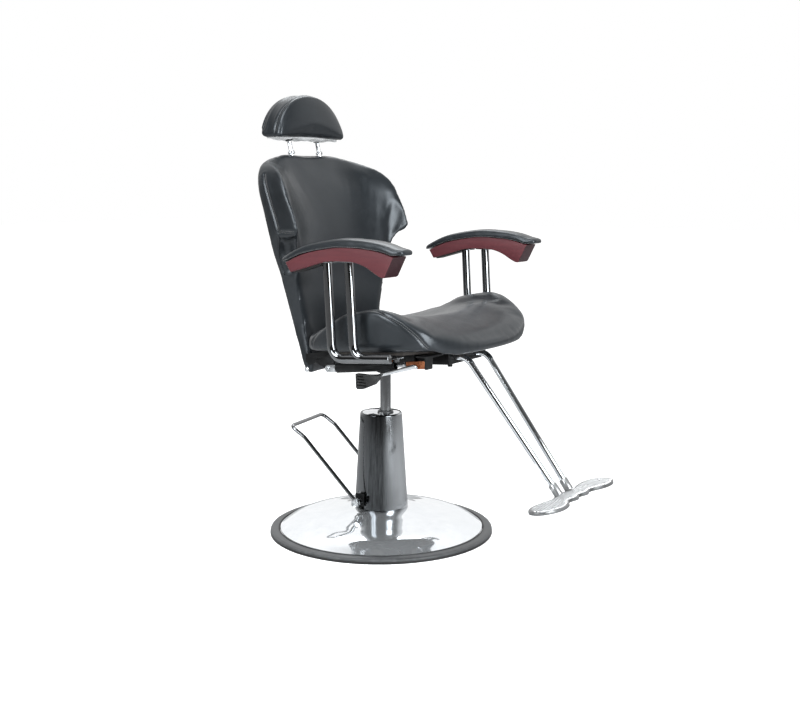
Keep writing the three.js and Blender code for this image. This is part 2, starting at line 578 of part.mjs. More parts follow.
function buildGasLock() {
  const length = Math.hypot(GAS_FRONT.y - GAS_PIN.y, GAS_FRONT.z - GAS_PIN.z);
  const [barrelStart, barrelEnd] = [22, 186];
  const barrel = bar(gasPoint(barrelStart), gasPoint(barrelEnd), GAS.cylinderRadius, 24);
  const nose = bar(gasPoint(barrelEnd - 1), gasPoint(barrelEnd + 7), 10, 24);
  const bore = bar(gasPoint(barrelStart + 8), gasPoint(barrelEnd + 20), 7.5, 16);
  addPart('gas_cylinder', cut(join(barrel, nose), bore), BLACK_STEEL);

  const pitch = Math.atan2(GAS_FRONT.z - GAS_PIN.z, GAS_PIN.y - GAS_FRONT.y);
  const clevisBody = block(vec(GAS.x - 10, -22 + GAP, -9), vec(GAS.x + 10, -4, 9));
  const clevisEye = bar(vec(GAS.x - 10, 0, 0), vec(GAS.x + 10, 0, 0), 9, 20);
  const slot = block(vec(GAS.x - 4, -13, -12), vec(GAS.x + 4, 13, 12));
  const pinRoom = crossPin(GAS.x - 14, GAS.x + 14, { y: 0, z: 0 }, GAS.pinRadius + GAP);
  const clevis = cut(join(clevisBody, clevisEye), slot, pinRoom);
  addPart('gas_clevis', clevis.rotateX(-pitch).translate(0, GAS_PIN.y, GAS_PIN.z), ZINC);

  const headStart = length - 52;
  addPart('gas_rod', join(bar(gasPoint(130), gasPoint(headStart - 7), GAS.rodRadius, 16),
    bar(gasPoint(headStart - 10), gasPoint(headStart - GAP), 8.5, 6)), CHROME);
  const head = block(vec(GAS.x - 8, -26, -9), vec(GAS.x + 8, 26, 9)).rotateX(-pitch);
  const headCentre = gasPoint(headStart + 26);
  addPart('release_head', head.translate(0, headCentre.y, headCentre.z), COPPER);

  const front = gasPoint(length + 2);
  const [bracketLow, bracketTop] = [484, 514];
  const hanger = block(vec(GAS.x - 13, front.y - 6, bracketLow), vec(GAS.x + 13, front.y, bracketTop));
  const flange = block(vec(GAS.x - 13, front.y - 6, bracketTop - 4), vec(GAS.x + 60, front.y + 24, bracketTop));
  addPart('front_bracket', join(hanger, flange), BLACK_STEEL);
}

// The recline release: a flat chrome lever pivoted on the release head, with a ribbed paddle.
const RELEASE = { x: GAS.x - 14, y: -256, z: 489 };

function buildReleaseLever() {
  const { x, y, z } = RELEASE;
  const strip = polygon([[y - 8, z - 4], [y - 4, z + 4], [y + 6, z + 4.5], [-150, 462], [-118, 459], [-118, 453],
    [-152, 455], [y + 4, z - 6]]);
  const rivet = bar(vec(x - 3, y, z), vec(GAS.x - 8 - GAP, y, z), 3, 16);
  addPart('release_lever', join(sidePlate(strip, x - 1.5, x + 1.5), rivet), CHROME);

  const outline = polygon([[-95, 460], [-96, 427], [-100, 423], [-114, 424], [-147, 438], [-160, 452],
    [-160, 461]]);
  const slots = [0, 1, 2, 3].map((row) => block(vec(x - 20, -118 - row * 3.5, 453 - row * 7),
    vec(x + 20, -99, 455.5 - row * 7)));
  const stripRoom = polygon([[-200, 470], [-200, 460], [-152, 454.4], [-117.5, 452.5], [-117.5, 470]]);
  const grip = sidePlate(outline, x - 12, GAS.x - GAS.cylinderRadius - 2 * GAP);
  addPart('lever_paddle', cut(grip, ...slots, sidePlate(stripRoom, x - 1.5 - GAP, x + 6)), BLACK_PLASTIC);
}

// ---------------------------------------------------------------- backrest
// The rear cover's side edges: how far back they lie, and how far out, by height.
const COVER_EDGE = [[437, 113], [446, 118], [500, 137], [560, 158], [605, 163], [650, 166], [700, 171],
  [730, 173], [765, 173], [819, 184], [867, 199], [940, 222], [1000, 240]];
const COVER_HALF_WIDTH = [[437, 176], [446, 178], [500, 176], [560, 175], [605, 186], [650, 199], [700, 213],
  [730, 226], [765, 239], [860, 243], [905, 239], [935, 226], [955, 205], [970, 170], [981, 112]];
const COVER_BULGE = [[446, 10], [500, 12], [560, 14], [605, 17], [650, 21], [700, 28], [765, 34], [800, 33],
  [900, 30], [980, 24]];
const PAD_CENTRE = [[520, 138], [550, 134], [600, 131], [650, 134], [700, 140], [750, 146], [800, 153],
  [850, 166], [900, 184], [950, 205], [980, 219]];
// The front face's side corner: how far back it lies, and how far out.
const PAD_EDGE = [[520, 108], [560, 114], [605, 118], [650, 119], [700, 106], [745, 101], [765, 84], [792, 64],
  [830, 71], [863, 85], [923, 146], [959, 228], [980, 240]];
const PAD_HALF_WIDTH = [[520, 172], [560, 172], [605, 184], [650, 196], [700, 203], [745, 210], [765, 232],
  [792, 243], [863, 242], [900, 237], [930, 224], [950, 203], [965, 168], [976, 110]];

// Outer face of the rear cover at a place across and up the back.
function coverY(x, z) {
  const across = Math.min(1, Math.abs(x) / along(COVER_HALF_WIDTH, z));
  return along(COVER_EDGE, z) + along(COVER_BULGE, z) * (1 - across * across);
}

// The hollow between pad and cover, which holds the steel frame; it closes towards the sides.
function hollow(x, z) {
  const across = Math.min(1, Math.abs(x) / along(COVER_HALF_WIDTH, z));
  const depth = along([[600, 15], [720, 19.5], [978, 19.5], [990, 0]], z);
  return 0.8 + depth * (1 - Math.pow(across, 6));
}

function padBack(x, z) {
  return coverY(x, z) - BACK.coverThickness - hollow(x, z);
}

function padFront(x, z) {
  const across = Math.min(1, Math.abs(x) / along(PAD_HALF_WIDTH, z));
  const blend = Math.pow(across, 3);
  const face = along(PAD_CENTRE, z) * (1 - blend) + along(PAD_EDGE, z) * blend;
  return Math.min(face, padBack(x, z) - 3);
}

function buildBackCushion() {
  const { padLowZ, padTopZ } = BACK;
  const geometry = moulded(14, 2, 18, (u, v, w) => {
    const z = padLowZ + ((padTopZ - padLowZ) * (w + 1)) / 2;
    const share = (v + 1) / 2;
    const x = u * (along(PAD_HALF_WIDTH, z) * (1 - share) + (along(COVER_HALF_WIDTH, z) - 3) * share);
    return [x, padFront(x, z) * (1 - share) + padBack(x, z) * share, z];
  });
  addPart('back_cushion', geometry, LEATHER);
}

function buildBackCover() {
  const geometry = moulded(14, 1, 15, (u, v, w) => {
    const z = BACK.coverLowZ + ((BACK.coverTopZ - BACK.coverLowZ) * (w + 1)) / 2;
    const x = u * along(COVER_HALF_WIDTH, z);
    const inset = v < 0 ? BACK.coverThickness : 0;
    return [x, coverY(x, z) - inset, z];
  });
  addPart('back_cover', geometry, LEATHER);
  for (const side of [-1, 1]) {
    const x = side * 168;
    const z = 452;
    const y = coverY(x, z) - BACK.coverThickness - 2;
    const screw = bar(vec(x, y - GAP - 1, z), vec(x, y - 4, z), 5, 16);
    addPart(`cover_screw_${side < 0 ? 'right' : 'left'}`, screw, ZINC);
  }
}

// Middle of the hollow at a place across and up the back.
function hollowMiddle(x, z) {
  return padBack(x, z) + hollow(x, z) / 2;
}

// A flat strip of the frame that follows the hollow up the back.
function frameUpright(x) {
  const heights = [455, 500, 560, 620, 700, 760, 820, 880, 930];
  const rearLine = heights.map((z) => [hollowMiddle(x, z) + 3, z]);
  const frontLine = heights.map((z) => [hollowMiddle(x, z) - 3, z]).reverse();
  return sidePlate(polygon([...rearLine, ...frontLine]), x - 12, x + 12);
}

// A flat strip of the frame that follows the hollow across the back.
function frameCrossBar(z) {
  const steps = 8;
  const line = Array.from({ length: steps + 1 }, (_, i) => {
    const x = -118 + (236 * i) / steps;
    return [x, hollowMiddle(x, z)];
  });
  const rearLine = line.map(([x, y]) => [x, y + 3]);
  const frontLine = line.map(([x, y]) => [x, y - 3]).reverse();
  return flatPlate(polygon([...rearLine, ...frontLine]), z - 12, 24);
}

// A flat arm from the foot of the frame forward to the hinge pin.
function frameArm(x) {
  const { y, z } = RECLINE;
  const outline = [[y - 8, z + 6], [y - 8, z - 6], [y + 6, z - 12], [70, 463], [98, 456], [103, 484],
    [y + 8, z + 7]];
  return sidePlate(polygon(outline), x - 3, x + 3);
}

function frameLowerBar() {
  const line = [[-181, 105], [-110, 119], [110, 119], [181, 105]];
  const frontLine = line.map(([x, y]) => [x, y - 8]);
  return flatPlate(polygon([...frontLine, ...line.reverse()]), 462, 22);
}

// The lever that pulls on the recline lock.
function frameLever() {
  const { y, z } = RECLINE;
  const pin = GAS_PIN;
  const outline = [[y - 7, z - 4], [pin.y - 8, pin.z - 4], [pin.y + 2, pin.z - 8.5], [pin.y + 8, pin.z - 2],
    [46, z - 24], [y + 9, z]];
  const plate = sidePlate(polygon(outline), GAS.x - 3, GAS.x + 3);
  const spacer = block(vec(GAS.x - 3, 30, z - 30), vec(-PIN.armX + 3, 44, z - 18));
  return join(plate, spacer);
}

// A bar along x through a point of the (y, z) plane.
function crossPin(low, high, { y, z }, radius) {
  return bar(vec(low, y, z), vec(high, y, z), radius, 16);
}

// The welded steel frame: two uprights in the hollow, arms to the pivots and a lever for the lock.
function buildBackFrame() {
  const upright = 106;
  const arms = [-1, 1].map((side) => frameArm(side * PIN.armX));
  const eyes = [-1, 1].map((side) => {
    const x = side * PIN.armX;
    return bar(vec(x - 3, RECLINE.y, RECLINE.z), vec(x + 3, RECLINE.y, RECLINE.z), PIN.eyeRadius, 24);
  });
  const sockets = [-1, 1].map((side) => bar(postPoint(side, -150), postPoint(side, -38), 7.2, 16));
  const frame = join(frameUpright(-upright), frameUpright(upright), frameCrossBar(620), frameCrossBar(860),
    frameLowerBar(), ...arms, ...eyes, frameLever(), ...sockets);
  const posts = [-1, 1].map((side) => bar(postPoint(side, -160), postPoint(side, 0), POST.radius + GAP, 16));
  const hingeRoom = crossPin(-230, 230, RECLINE, PIN.radius + GAP);
  const gasPinRoom = crossPin(GAS.x - 20, GAS.x + 20, GAS_PIN, GAS.pinRadius + GAP);
  addPart('back_frame', cut(frame, ...posts, hingeRoom, gasPinRoom), BLACK_STEEL);

  addPart('gas_pin', crossPin(GAS.x - 12, GAS.x + 12, GAS_PIN, GAS.pinRadius), ZINC);
  for (const side of [-1, 1]) {
    const name = side < 0 ? 'right' : 'left';
    addPart(`hinge_pin_${name}`, crossPin(side * (PIN.bracketX - 5), side * (PIN.armX + 8), RECLINE, PIN.radius), ZINC);
    const bush = bar(postPoint(side, -24), postPoint(side, -18), 9, 20);
    const bore = bar(postPoint(side, -50), postPoint(side, 0), POST.radius + GAP, 16);
    addPart(`headrest_bush_${name}`, cut(bush, bore), ZINC);
  }
}

// ---------------------------------------------------------------- headrest
// A point on a headrest post, at a distance along it from the middle of its bare length.
function postPoint(side, distance) {
  return vec(side * POST.x, POST.y + distance * Math.sin(POST.lean), POST.z + distance * Math.cos(POST.lean));
}

function buildHeadrest() {
  for (const side of [-1, 1]) {
    const name = side < 0 ? 'right' : 'left';
    addPart(`headrest_post_${name}`, bar(postPoint(side, -120), postPoint(side, 52), POST.radius, 18), CHROME);
    const grommet = bar(postPoint(side, 10.5), postPoint(side, 14), 9, 20);
    const bore = bar(postPoint(side, 0), postPoint(side, 40), POST.radius + GAP, 18);
    addPart(`headrest_grommet_${name}`, cut(grommet, bore), BLACK_PLASTIC);
  }
  const pad = moulded(12, 4, 5, (u, v, w) => {
    const dome = Math.pow(Math.max(0, 1 - Math.pow(Math.abs(u), 2.1)), 0.6);
    const height = 16 + 94 * dome;
    const thick = 38 * (1 - 0.35 * Math.pow(Math.abs(w), 6)) * (1 - 0.25 * Math.pow(Math.abs(u), 4));
    const x = HEADREST.halfWidth * u * (1 - 0.05 * w * w);
    return [x, HEADREST.y + v * thick + 4 * w, HEADREST.lowZ + (height * (w + 1)) / 2];
  });
  const rooms = [-1, 1].map((side) => bar(postPoint(side, 5), postPoint(side, 54), POST.radius + GAP, 18));
  addPart('headrest_pad', cut(pad, ...rooms), LEATHER);
}

buildBase();
buildPump();
buildSleeve();
buildPedal();
buildRam();
buildMechanism();
buildSeatCushion();
buildArm(-1);
buildArm(1);
buildFootrest();
buildGasLock();
buildReleaseLever();
buildBackCushion();
buildBackCover();
buildBackFrame();
buildHeadrest();

export default chair;
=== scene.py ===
import json
import math

import bmesh
import bpy
import numpy as np
from mathutils import Matrix, Vector
from mathutils.bvhtree import BVHTree

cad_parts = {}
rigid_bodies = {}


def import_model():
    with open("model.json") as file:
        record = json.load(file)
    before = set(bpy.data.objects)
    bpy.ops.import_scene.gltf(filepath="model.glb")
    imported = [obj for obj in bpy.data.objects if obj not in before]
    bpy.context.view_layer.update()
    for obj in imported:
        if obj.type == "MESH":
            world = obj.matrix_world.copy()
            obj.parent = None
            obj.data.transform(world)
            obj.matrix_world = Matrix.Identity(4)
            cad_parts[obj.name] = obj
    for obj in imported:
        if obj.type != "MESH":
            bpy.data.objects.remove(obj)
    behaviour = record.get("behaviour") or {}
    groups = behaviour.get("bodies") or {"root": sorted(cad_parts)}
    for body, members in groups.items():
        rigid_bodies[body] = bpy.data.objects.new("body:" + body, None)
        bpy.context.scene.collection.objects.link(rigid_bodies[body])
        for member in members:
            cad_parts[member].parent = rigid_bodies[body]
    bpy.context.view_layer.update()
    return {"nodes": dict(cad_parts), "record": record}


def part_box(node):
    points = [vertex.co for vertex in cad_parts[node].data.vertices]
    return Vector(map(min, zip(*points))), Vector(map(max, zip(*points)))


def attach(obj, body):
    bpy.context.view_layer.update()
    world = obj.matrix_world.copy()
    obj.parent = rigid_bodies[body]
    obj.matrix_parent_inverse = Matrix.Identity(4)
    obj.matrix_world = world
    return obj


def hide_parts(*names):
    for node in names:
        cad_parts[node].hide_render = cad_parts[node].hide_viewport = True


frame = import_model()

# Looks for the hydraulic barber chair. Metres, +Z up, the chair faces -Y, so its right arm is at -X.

MM = 0.001


# ---------------------------------------------------------------- places taken from the frame
def box_mm(node):
    low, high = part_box(node)
    return np.array(low) / MM, np.array(high) / MM


SIDES = ((-1, "right"), (1, "left"))
BASE_RADIUS = box_mm("base_ring")[1][0]
RING_HEIGHT = box_mm("base_ring")[1][2]
SLEEVE_LOW, SLEEVE_HIGH = box_mm("pump_sleeve")
RAM_LOW, RAM_HIGH = box_mm("lift_ram")
RAM_Y = (RAM_LOW[1] + RAM_HIGH[1]) / 2
ARM_X = (box_mm("arm_rail_left")[0][0] + box_mm("arm_rail_left")[1][0]) / 2
POST_X = (box_mm("headrest_post_left")[0][0] + box_mm("headrest_post_left")[1][0]) / 2
COVER_LOW, COVER_HIGH = box_mm("back_cover")[0][2], box_mm("back_cover")[1][2]
GAP = 0.35


# ---------------------------------------------------------------- node materials
class Shader:
    """A short way to write a node tree: each call adds one node and returns it or its output."""

    def __init__(self, name):
        self.material = bpy.data.materials.new(name)
        self.material.use_nodes = True
        self.tree = self.material.node_tree
        self.surface = self.tree.nodes["Principled BSDF"]
        self.place = self.add("ShaderNodeTexCoord").outputs["Object"]

    def add(self, kind, **settings):
        node = self.tree.nodes.new(kind)
        for key, value in settings.items():
            setattr(node, key, value)
        return node

    def feed(self, socket, value):
        if isinstance(value, bpy.types.NodeSocket):
            self.tree.links.new(value, socket)
        else:
            socket.default_value = value

    def stretched(self, x, y, z):
        node = self.add("ShaderNodeMapping")
        self.feed(node.inputs["Vector"], self.place)
        node.inputs["Scale"].default_value = (x, y, z)
        return node.outputs["Vector"]

    def noise(self, scale, detail=3.0, roughness=0.5, place=None, distortion=0.0):
        node = self.add("ShaderNodeTexNoise")
        self.feed(node.inputs["Vector"], place or self.place)
        node.inputs["Scale"].default_value = scale
        node.inputs["Detail"].default_value = detail
        node.inputs["Roughness"].default_value = roughness
        node.inputs["Distortion"].default_value = distortion
        return node.outputs["Fac"]

    def cells(self, scale, feature="F1", randomness=1.0, place=None):
        node = self.add("ShaderNodeTexVoronoi", feature=feature)
        self.feed(node.inputs["Vector"], place or self.place)
        node.inputs["Scale"].default_value = scale
        node.inputs["Randomness"].default_value = randomness
        return node.outputs["Distance"]

    def remap(self, value, low, high, out_low=0.0, out_high=1.0):
        node = self.add("ShaderNodeMapRange")
        self.feed(node.inputs["Value"], value)
        node.inputs["From Min"].default_value = low
        node.inputs["From Max"].default_value = high
        node.inputs["To Min"].default_value = out_low
        node.inputs["To Max"].default_value = out_high
        return node.outputs["Result"]

    def maths(self, operation, a, b=0.0):
        node = self.add("ShaderNodeMath", operation=operation)
        self.feed(node.inputs[0], a)
        self.feed(node.inputs[1], b)
        return node.outputs[0]

    def blend(self, share, first, second):
        node = self.add("ShaderNodeMix", data_type="RGBA")
        self.feed(node.inputs[0], share)
        self.feed(node.inputs[6], first)
        self.feed(node.inputs[7], second)
        return node.outputs[2]

    def bump(self, height, distance_mm, strength=1.0, under=None):
        node = self.add("ShaderNodeBump")
        self.feed(node.inputs["Height"], height)
        node.inputs["Distance"].default_value = distance_mm * MM
        node.inputs["Strength"].default_value = strength
        if under is not None:
            self.feed(node.inputs["Normal"], under)
        return node.outputs["Normal"]

    def worn_edges(self, low=0.52, high=0.62):
        pointiness = self.add("ShaderNodeNewGeometry").outputs["Pointiness"]
        return self.remap(pointiness, low, high)

    def finish(self, **inputs):
        for key, value in inputs.items():
            self.feed(self.surface.inputs[key.replace("_", " ")], value)
        return self.material


def grey(level, tint=0.0):
    return (level * (1 - tint), level, level * (1 + tint), 1.0)


def leather_material(name="black_leather", shade=1.0):
    s = Shader(name)
    pores = s.cells(760, feature="SMOOTH_F1")
    creases = s.remap(s.cells(300, feature="DISTANCE_TO_EDGE", randomness=0.9), 0.0, 0.12)
    wrinkles = s.noise(38, detail=5, roughness=0.62, distortion=0.5)
    drift = s.noise(5.5, detail=2)
    normal = s.bump(wrinkles, 0.14, 0.3)
    normal = s.bump(creases, 0.04, 0.3, normal)
    normal = s.bump(pores, 0.03, 0.3, normal)
    # shade scales the colour; below 1 it gives a darker, painted-shade copy of the leather.
    colour = s.blend(s.remap(drift, 0.3, 0.7), grey(0.007 * shade, 0.18), grey(0.012 * shade, 0.18))
    rough = s.maths("ADD", s.remap(wrinkles, 0.3, 0.7, 0.31, 0.38), s.remap(pores, 0.0, 0.6, 0.02, -0.02))
    return s.finish(Base_Color=colour, Roughness=rough, Normal=normal, Specular_IOR_Level=0.55,
                    Specular_Tint=(0.90, 0.95, 1.0, 1.0))


def thread_material():
    s = Shader("thread")
    twist = s.noise(1500, detail=2)
    colour = s.blend(twist, grey(0.05), grey(0.12))
    return s.finish(Base_Color=colour, Roughness=0.55, Normal=s.bump(twist, 0.1), Sheen_Weight=0.4)


def underside_material():
    s = Shader("grey_lining")
    weave = s.cells(900, randomness=0.15)
    drift = s.noise(14)
    colour = s.blend(s.remap(drift, 0.3, 0.7), grey(0.30), grey(0.38))
    return s.finish(Base_Color=colour, Roughness=0.85, Normal=s.bump(weave, 0.25, 0.6), Sheen_Weight=0.3)


def chrome_material(name="chrome", light=0.80, dark=0.70, metallic=1.0):
    s = Shader(name)
    haze = s.noise(26, detail=6, roughness=0.7)
    ripple = s.noise(9, detail=1)
    rough = s.remap(haze, 0.35, 0.75, 0.035, 0.085)
    colour = s.blend(s.remap(haze, 0.3, 0.8), grey(light, 0.02), grey(dark, 0.03))
    return s.finish(Base_Color=colour, Metallic=metallic, Roughness=rough, Normal=s.bump(ripple, 0.12, 0.1))


def brushed_material():
    s = Shader("brushed_chrome")
    lines = s.noise(260, detail=4, roughness=0.65, place=s.stretched(1, 1, 0.035))
    patches = s.noise(11, detail=3, place=s.stretched(1, 1, 0.35))
    # Painted reflection: the colour turns light grey on faces turned toward image right and mid grey on faces turned
    # the other way, by the direction each face points, standing in for studio reflections on the sleeve.
    side = s.add("ShaderNodeVectorMath", operation="DOT_PRODUCT")
    s.feed(side.inputs[0], s.add("ShaderNodeTexCoord").outputs["Normal"])
    side.inputs[1].default_value = (0.566, -0.824, 0.0)
    across = side.outputs["Value"]
    colour = s.blend(s.remap(lines, 0.3, 0.7), grey(0.03, 0.05), grey(0.10, 0.05))
    colour = s.blend(s.remap(across, 0.05, 0.75), colour, grey(0.46, 0.03))
    colour = s.blend(s.remap(across, -0.45, -0.95), colour, grey(0.22, 0.03))
    rough = s.maths("ADD", s.remap(lines, 0.3, 0.7, 0.11, 0.18), s.remap(patches, 0.3, 0.7, -0.03, 0.04))
    return s.finish(Base_Color=colour, Metallic=1.0, Roughness=rough, Normal=s.bump(lines, 0.03, 0.3),
                    Anisotropic=0.35)


def black_steel_material():
    s = Shader("black_steel")
    peel = s.noise(620, detail=2)
    dust = s.noise(30, detail=6, roughness=0.7)
    worn = s.worn_edges(0.56, 0.70)
    colour = s.blend(s.remap(dust, 0.45, 0.75), grey(0.004, 0.04), grey(0.010, 0.04))
    colour = s.blend(s.maths("MULTIPLY", worn, 0.4), colour, grey(0.05))
    return s.finish(Base_Color=colour, Roughness=s.remap(dust, 0.3, 0.7, 0.38, 0.55),
                    Normal=s.bump(peel, 0.09, 0.5), Specular_IOR_Level=0.2)


def metal_material(name, dark, light, rough_low, rough_high, grain=420):
    s = Shader(name)
    patches = s.cells(170, randomness=1.0)
    scratches = s.noise(grain, detail=4, roughness=0.7, place=s.stretched(1, 0.12, 1))
    worn = s.worn_edges()
    colour = s.blend(s.remap(patches, 0.1, 0.7), dark, light)
    colour = s.blend(s.maths("MULTIPLY", worn, 0.4), colour, light)
    rough = s.remap(scratches, 0.3, 0.7, rough_low, rough_high)
    return s.finish(Base_Color=colour, Metallic=1.0, Roughness=rough, Normal=s.bump(scratches, 0.05, 0.4))


def cast_aluminium_material():
    s = Shader("cast_aluminium")
    grit = s.noise(520, detail=4, roughness=0.7)
    pits = s.remap(s.cells(210), 0.0, 0.18)
    stains = s.noise(34, detail=5, roughness=0.65)
    worn = s.worn_edges(0.50, 0.60)
    colour = s.blend(s.remap(stains, 0.3, 0.7), grey(0.03, 0.01), grey(0.12, 0.01))
    colour = s.blend(worn, colour, grey(0.50))
    normal = s.bump(pits, 0.12, 0.25, s.bump(grit, 0.1, 0.35))
    return s.finish(Base_Color=colour, Metallic=0.85, Normal=normal,
                    Roughness=s.remap(stains, 0.3, 0.7, 0.24, 0.42))


def rubber_material():
    s = Shader("rubber")
    grain = s.noise(700, detail=4, roughness=0.7)
    scuffs = s.noise(42, detail=6, roughness=0.7)
    colour = s.blend(s.remap(scuffs, 0.4, 0.75), grey(0.040, 0.03), grey(0.085, 0.03))
    return s.finish(Base_Color=colour, Roughness=s.remap(scuffs, 0.3, 0.7, 0.34, 0.55),
                    Normal=s.bump(grain, 0.1, 0.5))


def plastic_material():
    s = Shader("black_plastic")
    spark = s.cells(950)
    drift = s.noise(60, detail=4)
    worn = s.worn_edges(0.53, 0.66)
    colour = s.blend(s.remap(drift, 0.3, 0.7), grey(0.006), grey(0.012))
    colour = s.blend(s.maths("MULTIPLY", worn, 0.4), colour, grey(0.05))
    return s.finish(Base_Color=colour, Roughness=s.remap(drift, 0.3, 0.7, 0.42, 0.55),
                    Normal=s.bump(spark, 0.06, 0.45))


def mahogany_material():
    s = Shader("mahogany")
    figure = s.noise(13, detail=4, roughness=0.6, place=s.stretched(3.2, 0.55, 6.5), distortion=0.6)
    fibres = s.noise(190, detail=5, roughness=0.7, place=s.stretched(1.0, 0.045, 1.0))
    pores = s.remap(s.noise(420, detail=2, place=s.stretched(1.0, 0.03, 1.0)), 0.64, 0.72)
    red, dark = (0.088, 0.019, 0.023, 1.0), (0.064, 0.014, 0.018, 1.0)
    colour = s.blend(s.remap(figure, 0.35, 0.72), red, dark)
    colour = s.blend(s.remap(fibres, 0.4, 0.8, 0.0, 0.45), colour, dark)
    colour = s.blend(s.maths("MULTIPLY", pores, 0.5), colour, (0.05, 0.014, 0.018, 1.0))
    # Painted shade and painted highlight: faces turned toward -Y (the front ends) are coloured near black, and faces
    # turned toward +Y (the rear ends) are coloured cream, by the direction each face points.
    facing = s.add("ShaderNodeSeparateXYZ")
    s.feed(facing.inputs[0], s.add("ShaderNodeTexCoord").outputs["Normal"])
    colour = s.blend(s.remap(facing.outputs["Y"], -0.35, -0.7), colour, (0.022, 0.006, 0.008, 1.0))
    colour = s.blend(s.remap(facing.outputs["Y"], 0.3, 0.5), colour, (0.50, 0.44, 0.38, 1.0))
    normal = s.bump(fibres, 0.05, 0.3)
    return s.finish(Base_Color=colour, Roughness=s.remap(fibres, 0.3, 0.7, 0.4, 0.52), Normal=normal,
                    Specular_IOR_Level=0.3)


def plywood_material():
    s = Shader("plywood")
    plies = s.add("ShaderNodeTexWave", wave_type="BANDS", bands_direction="Z")
    s.feed(plies.inputs["Vector"], s.place)
    plies.inputs["Scale"].default_value = 120
    plies.inputs["Distortion"].default_value = 1.5
    grain = s.noise(90, detail=5, roughness=0.7, place=s.stretched(0.12, 1, 1))
    # Painted shade: the plies are coloured near black, far darker than bare plywood, so that the board's edge under the
    # seat reads as the shadow line beneath the leather.
    colour = s.blend(plies.outputs["Fac"], (0.014, 0.011, 0.009, 1.0), (0.026, 0.020, 0.016, 1.0))
    colour = s.blend(s.remap(grain, 0.4, 0.8, 0.0, 0.5), colour, (0.010, 0.008, 0.007, 1.0))
    return s.finish(Base_Color=colour, Roughness=0.75, Normal=s.bump(grain, 0.2, 0.5))


MATERIAL = {
    "black_leather": leather_material(),
    # Painted shade: the rear panel gets a darker copy of the same black leather.
    "cover_leather_painted_shade": leather_material("cover_leather_painted_shade", 0.62),
    "thread": thread_material(),
    "grey_lining": underside_material(),
    "chrome": chrome_material(),
    # Painted light: the dome's chrome is a lighter copy of the same chrome, with a share of white diffuse colour, so
    # that the dome reads white.
    "dome_chrome_painted_light": chrome_material("dome_chrome_painted_light", 0.92, 0.84, 0.88),
    # Painted shade: the arm tubes', ram's and pedal's chrome is a much darker copy of the same chrome, so that they
    # read darker.
    "tube_chrome_painted_shade": chrome_material("tube_chrome_painted_shade", 0.27, 0.21),
    "brushed_chrome": brushed_material(),
    "black_steel": black_steel_material(),
    "steel": metal_material("steel", grey(0.36), grey(0.52), 0.25, 0.45),
    "zinc": metal_material("zinc", grey(0.52, 0.03), grey(0.72, 0.02), 0.2, 0.36),
    "copper": metal_material("copper", (0.22, 0.075, 0.035, 1), (0.36, 0.13, 0.06, 1), 0.3, 0.5),
    "cast_aluminium": cast_aluminium_material(),
    "rubber": rubber_material(),
    "black_plastic": plastic_material(),
    "mahogany": mahogany_material(),
    "plywood": plywood_material(),
}
SLOTS = {row["node"]: row["material_slot"] for row in frame["record"]["subparts"]}


# ---------------------------------------------------------------- mesh helpers
def piece(name, vertices, faces, material, body, nodes=(), sharp=35.0):
    """A finished piece from vertices in millimetres: shaded smooth, riding on a body."""
    mesh = bpy.data.meshes.new(name)
    mesh.from_pydata((np.asarray(vertices, float) * MM).tolist(), [], faces)
    return dress(name, mesh, material, body, nodes, sharp)


def dress(name, mesh, material, body, nodes=(), sharp=35.0):
    bm = bmesh.new()
    bm.from_mesh(mesh)
    bmesh.ops.remove_doubles(bm, verts=bm.verts, dist=1e-6)
    bmesh.ops.recalc_face_normals(bm, faces=bm.faces)
    bm.to_mesh(mesh)
    bm.free()
    mesh.validate()
    mesh.polygons.foreach_set("use_smooth", [True] * len(mesh.polygons))
    mesh.set_sharp_from_angle(angle=math.radians(sharp))
    mesh.materials.clear()
    mesh.materials.append(MATERIAL[material])
    obj = bpy.data.objects.new(name, mesh)
    bpy.context.scene.collection.objects.link(obj)
    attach(obj, body)
    if nodes:
        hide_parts(*nodes)
    return obj


def vectors(obj_or_mesh):
    mesh = getattr(obj_or_mesh, "data", obj_or_mesh)
    co = np.zeros(len(mesh.vertices) * 3, np.float32)
    mesh.vertices.foreach_get("co", co)
    return co.reshape(-1, 3).astype(float)


def set_vectors(obj, co):
    obj.data.vertices.foreach_set("co", co.astype(np.float32).ravel())
    obj.data.update()


def curve_through(points, key):
    """Smooth interpolation of [key, value] pairs with rising keys, flat beyond both ends."""
    xs, ys = np.array(points, float).T
    slope = np.gradient(ys, xs)
    step = np.diff(ys) / np.diff(xs)
    flat = np.concatenate([[False], step[1:] * step[:-1] <= 0, [False]])
    slope = np.where(flat, 0.0, slope)
    key = np.clip(np.asarray(key, float), xs[0], xs[-1])
    i = np.clip(np.searchsorted(xs, key, side="right") - 1, 0, len(xs) - 2)
    h = xs[i + 1] - xs[i]
    t = (key - xs[i]) / h
    a, b = 2 * t**3 - 3 * t**2 + 1, t**3 - 2 * t**2 + t
    return a * ys[i] + b * h * slope[i] + (1 - a) * ys[i + 1] + (t**3 - t**2) * h * slope[i + 1]


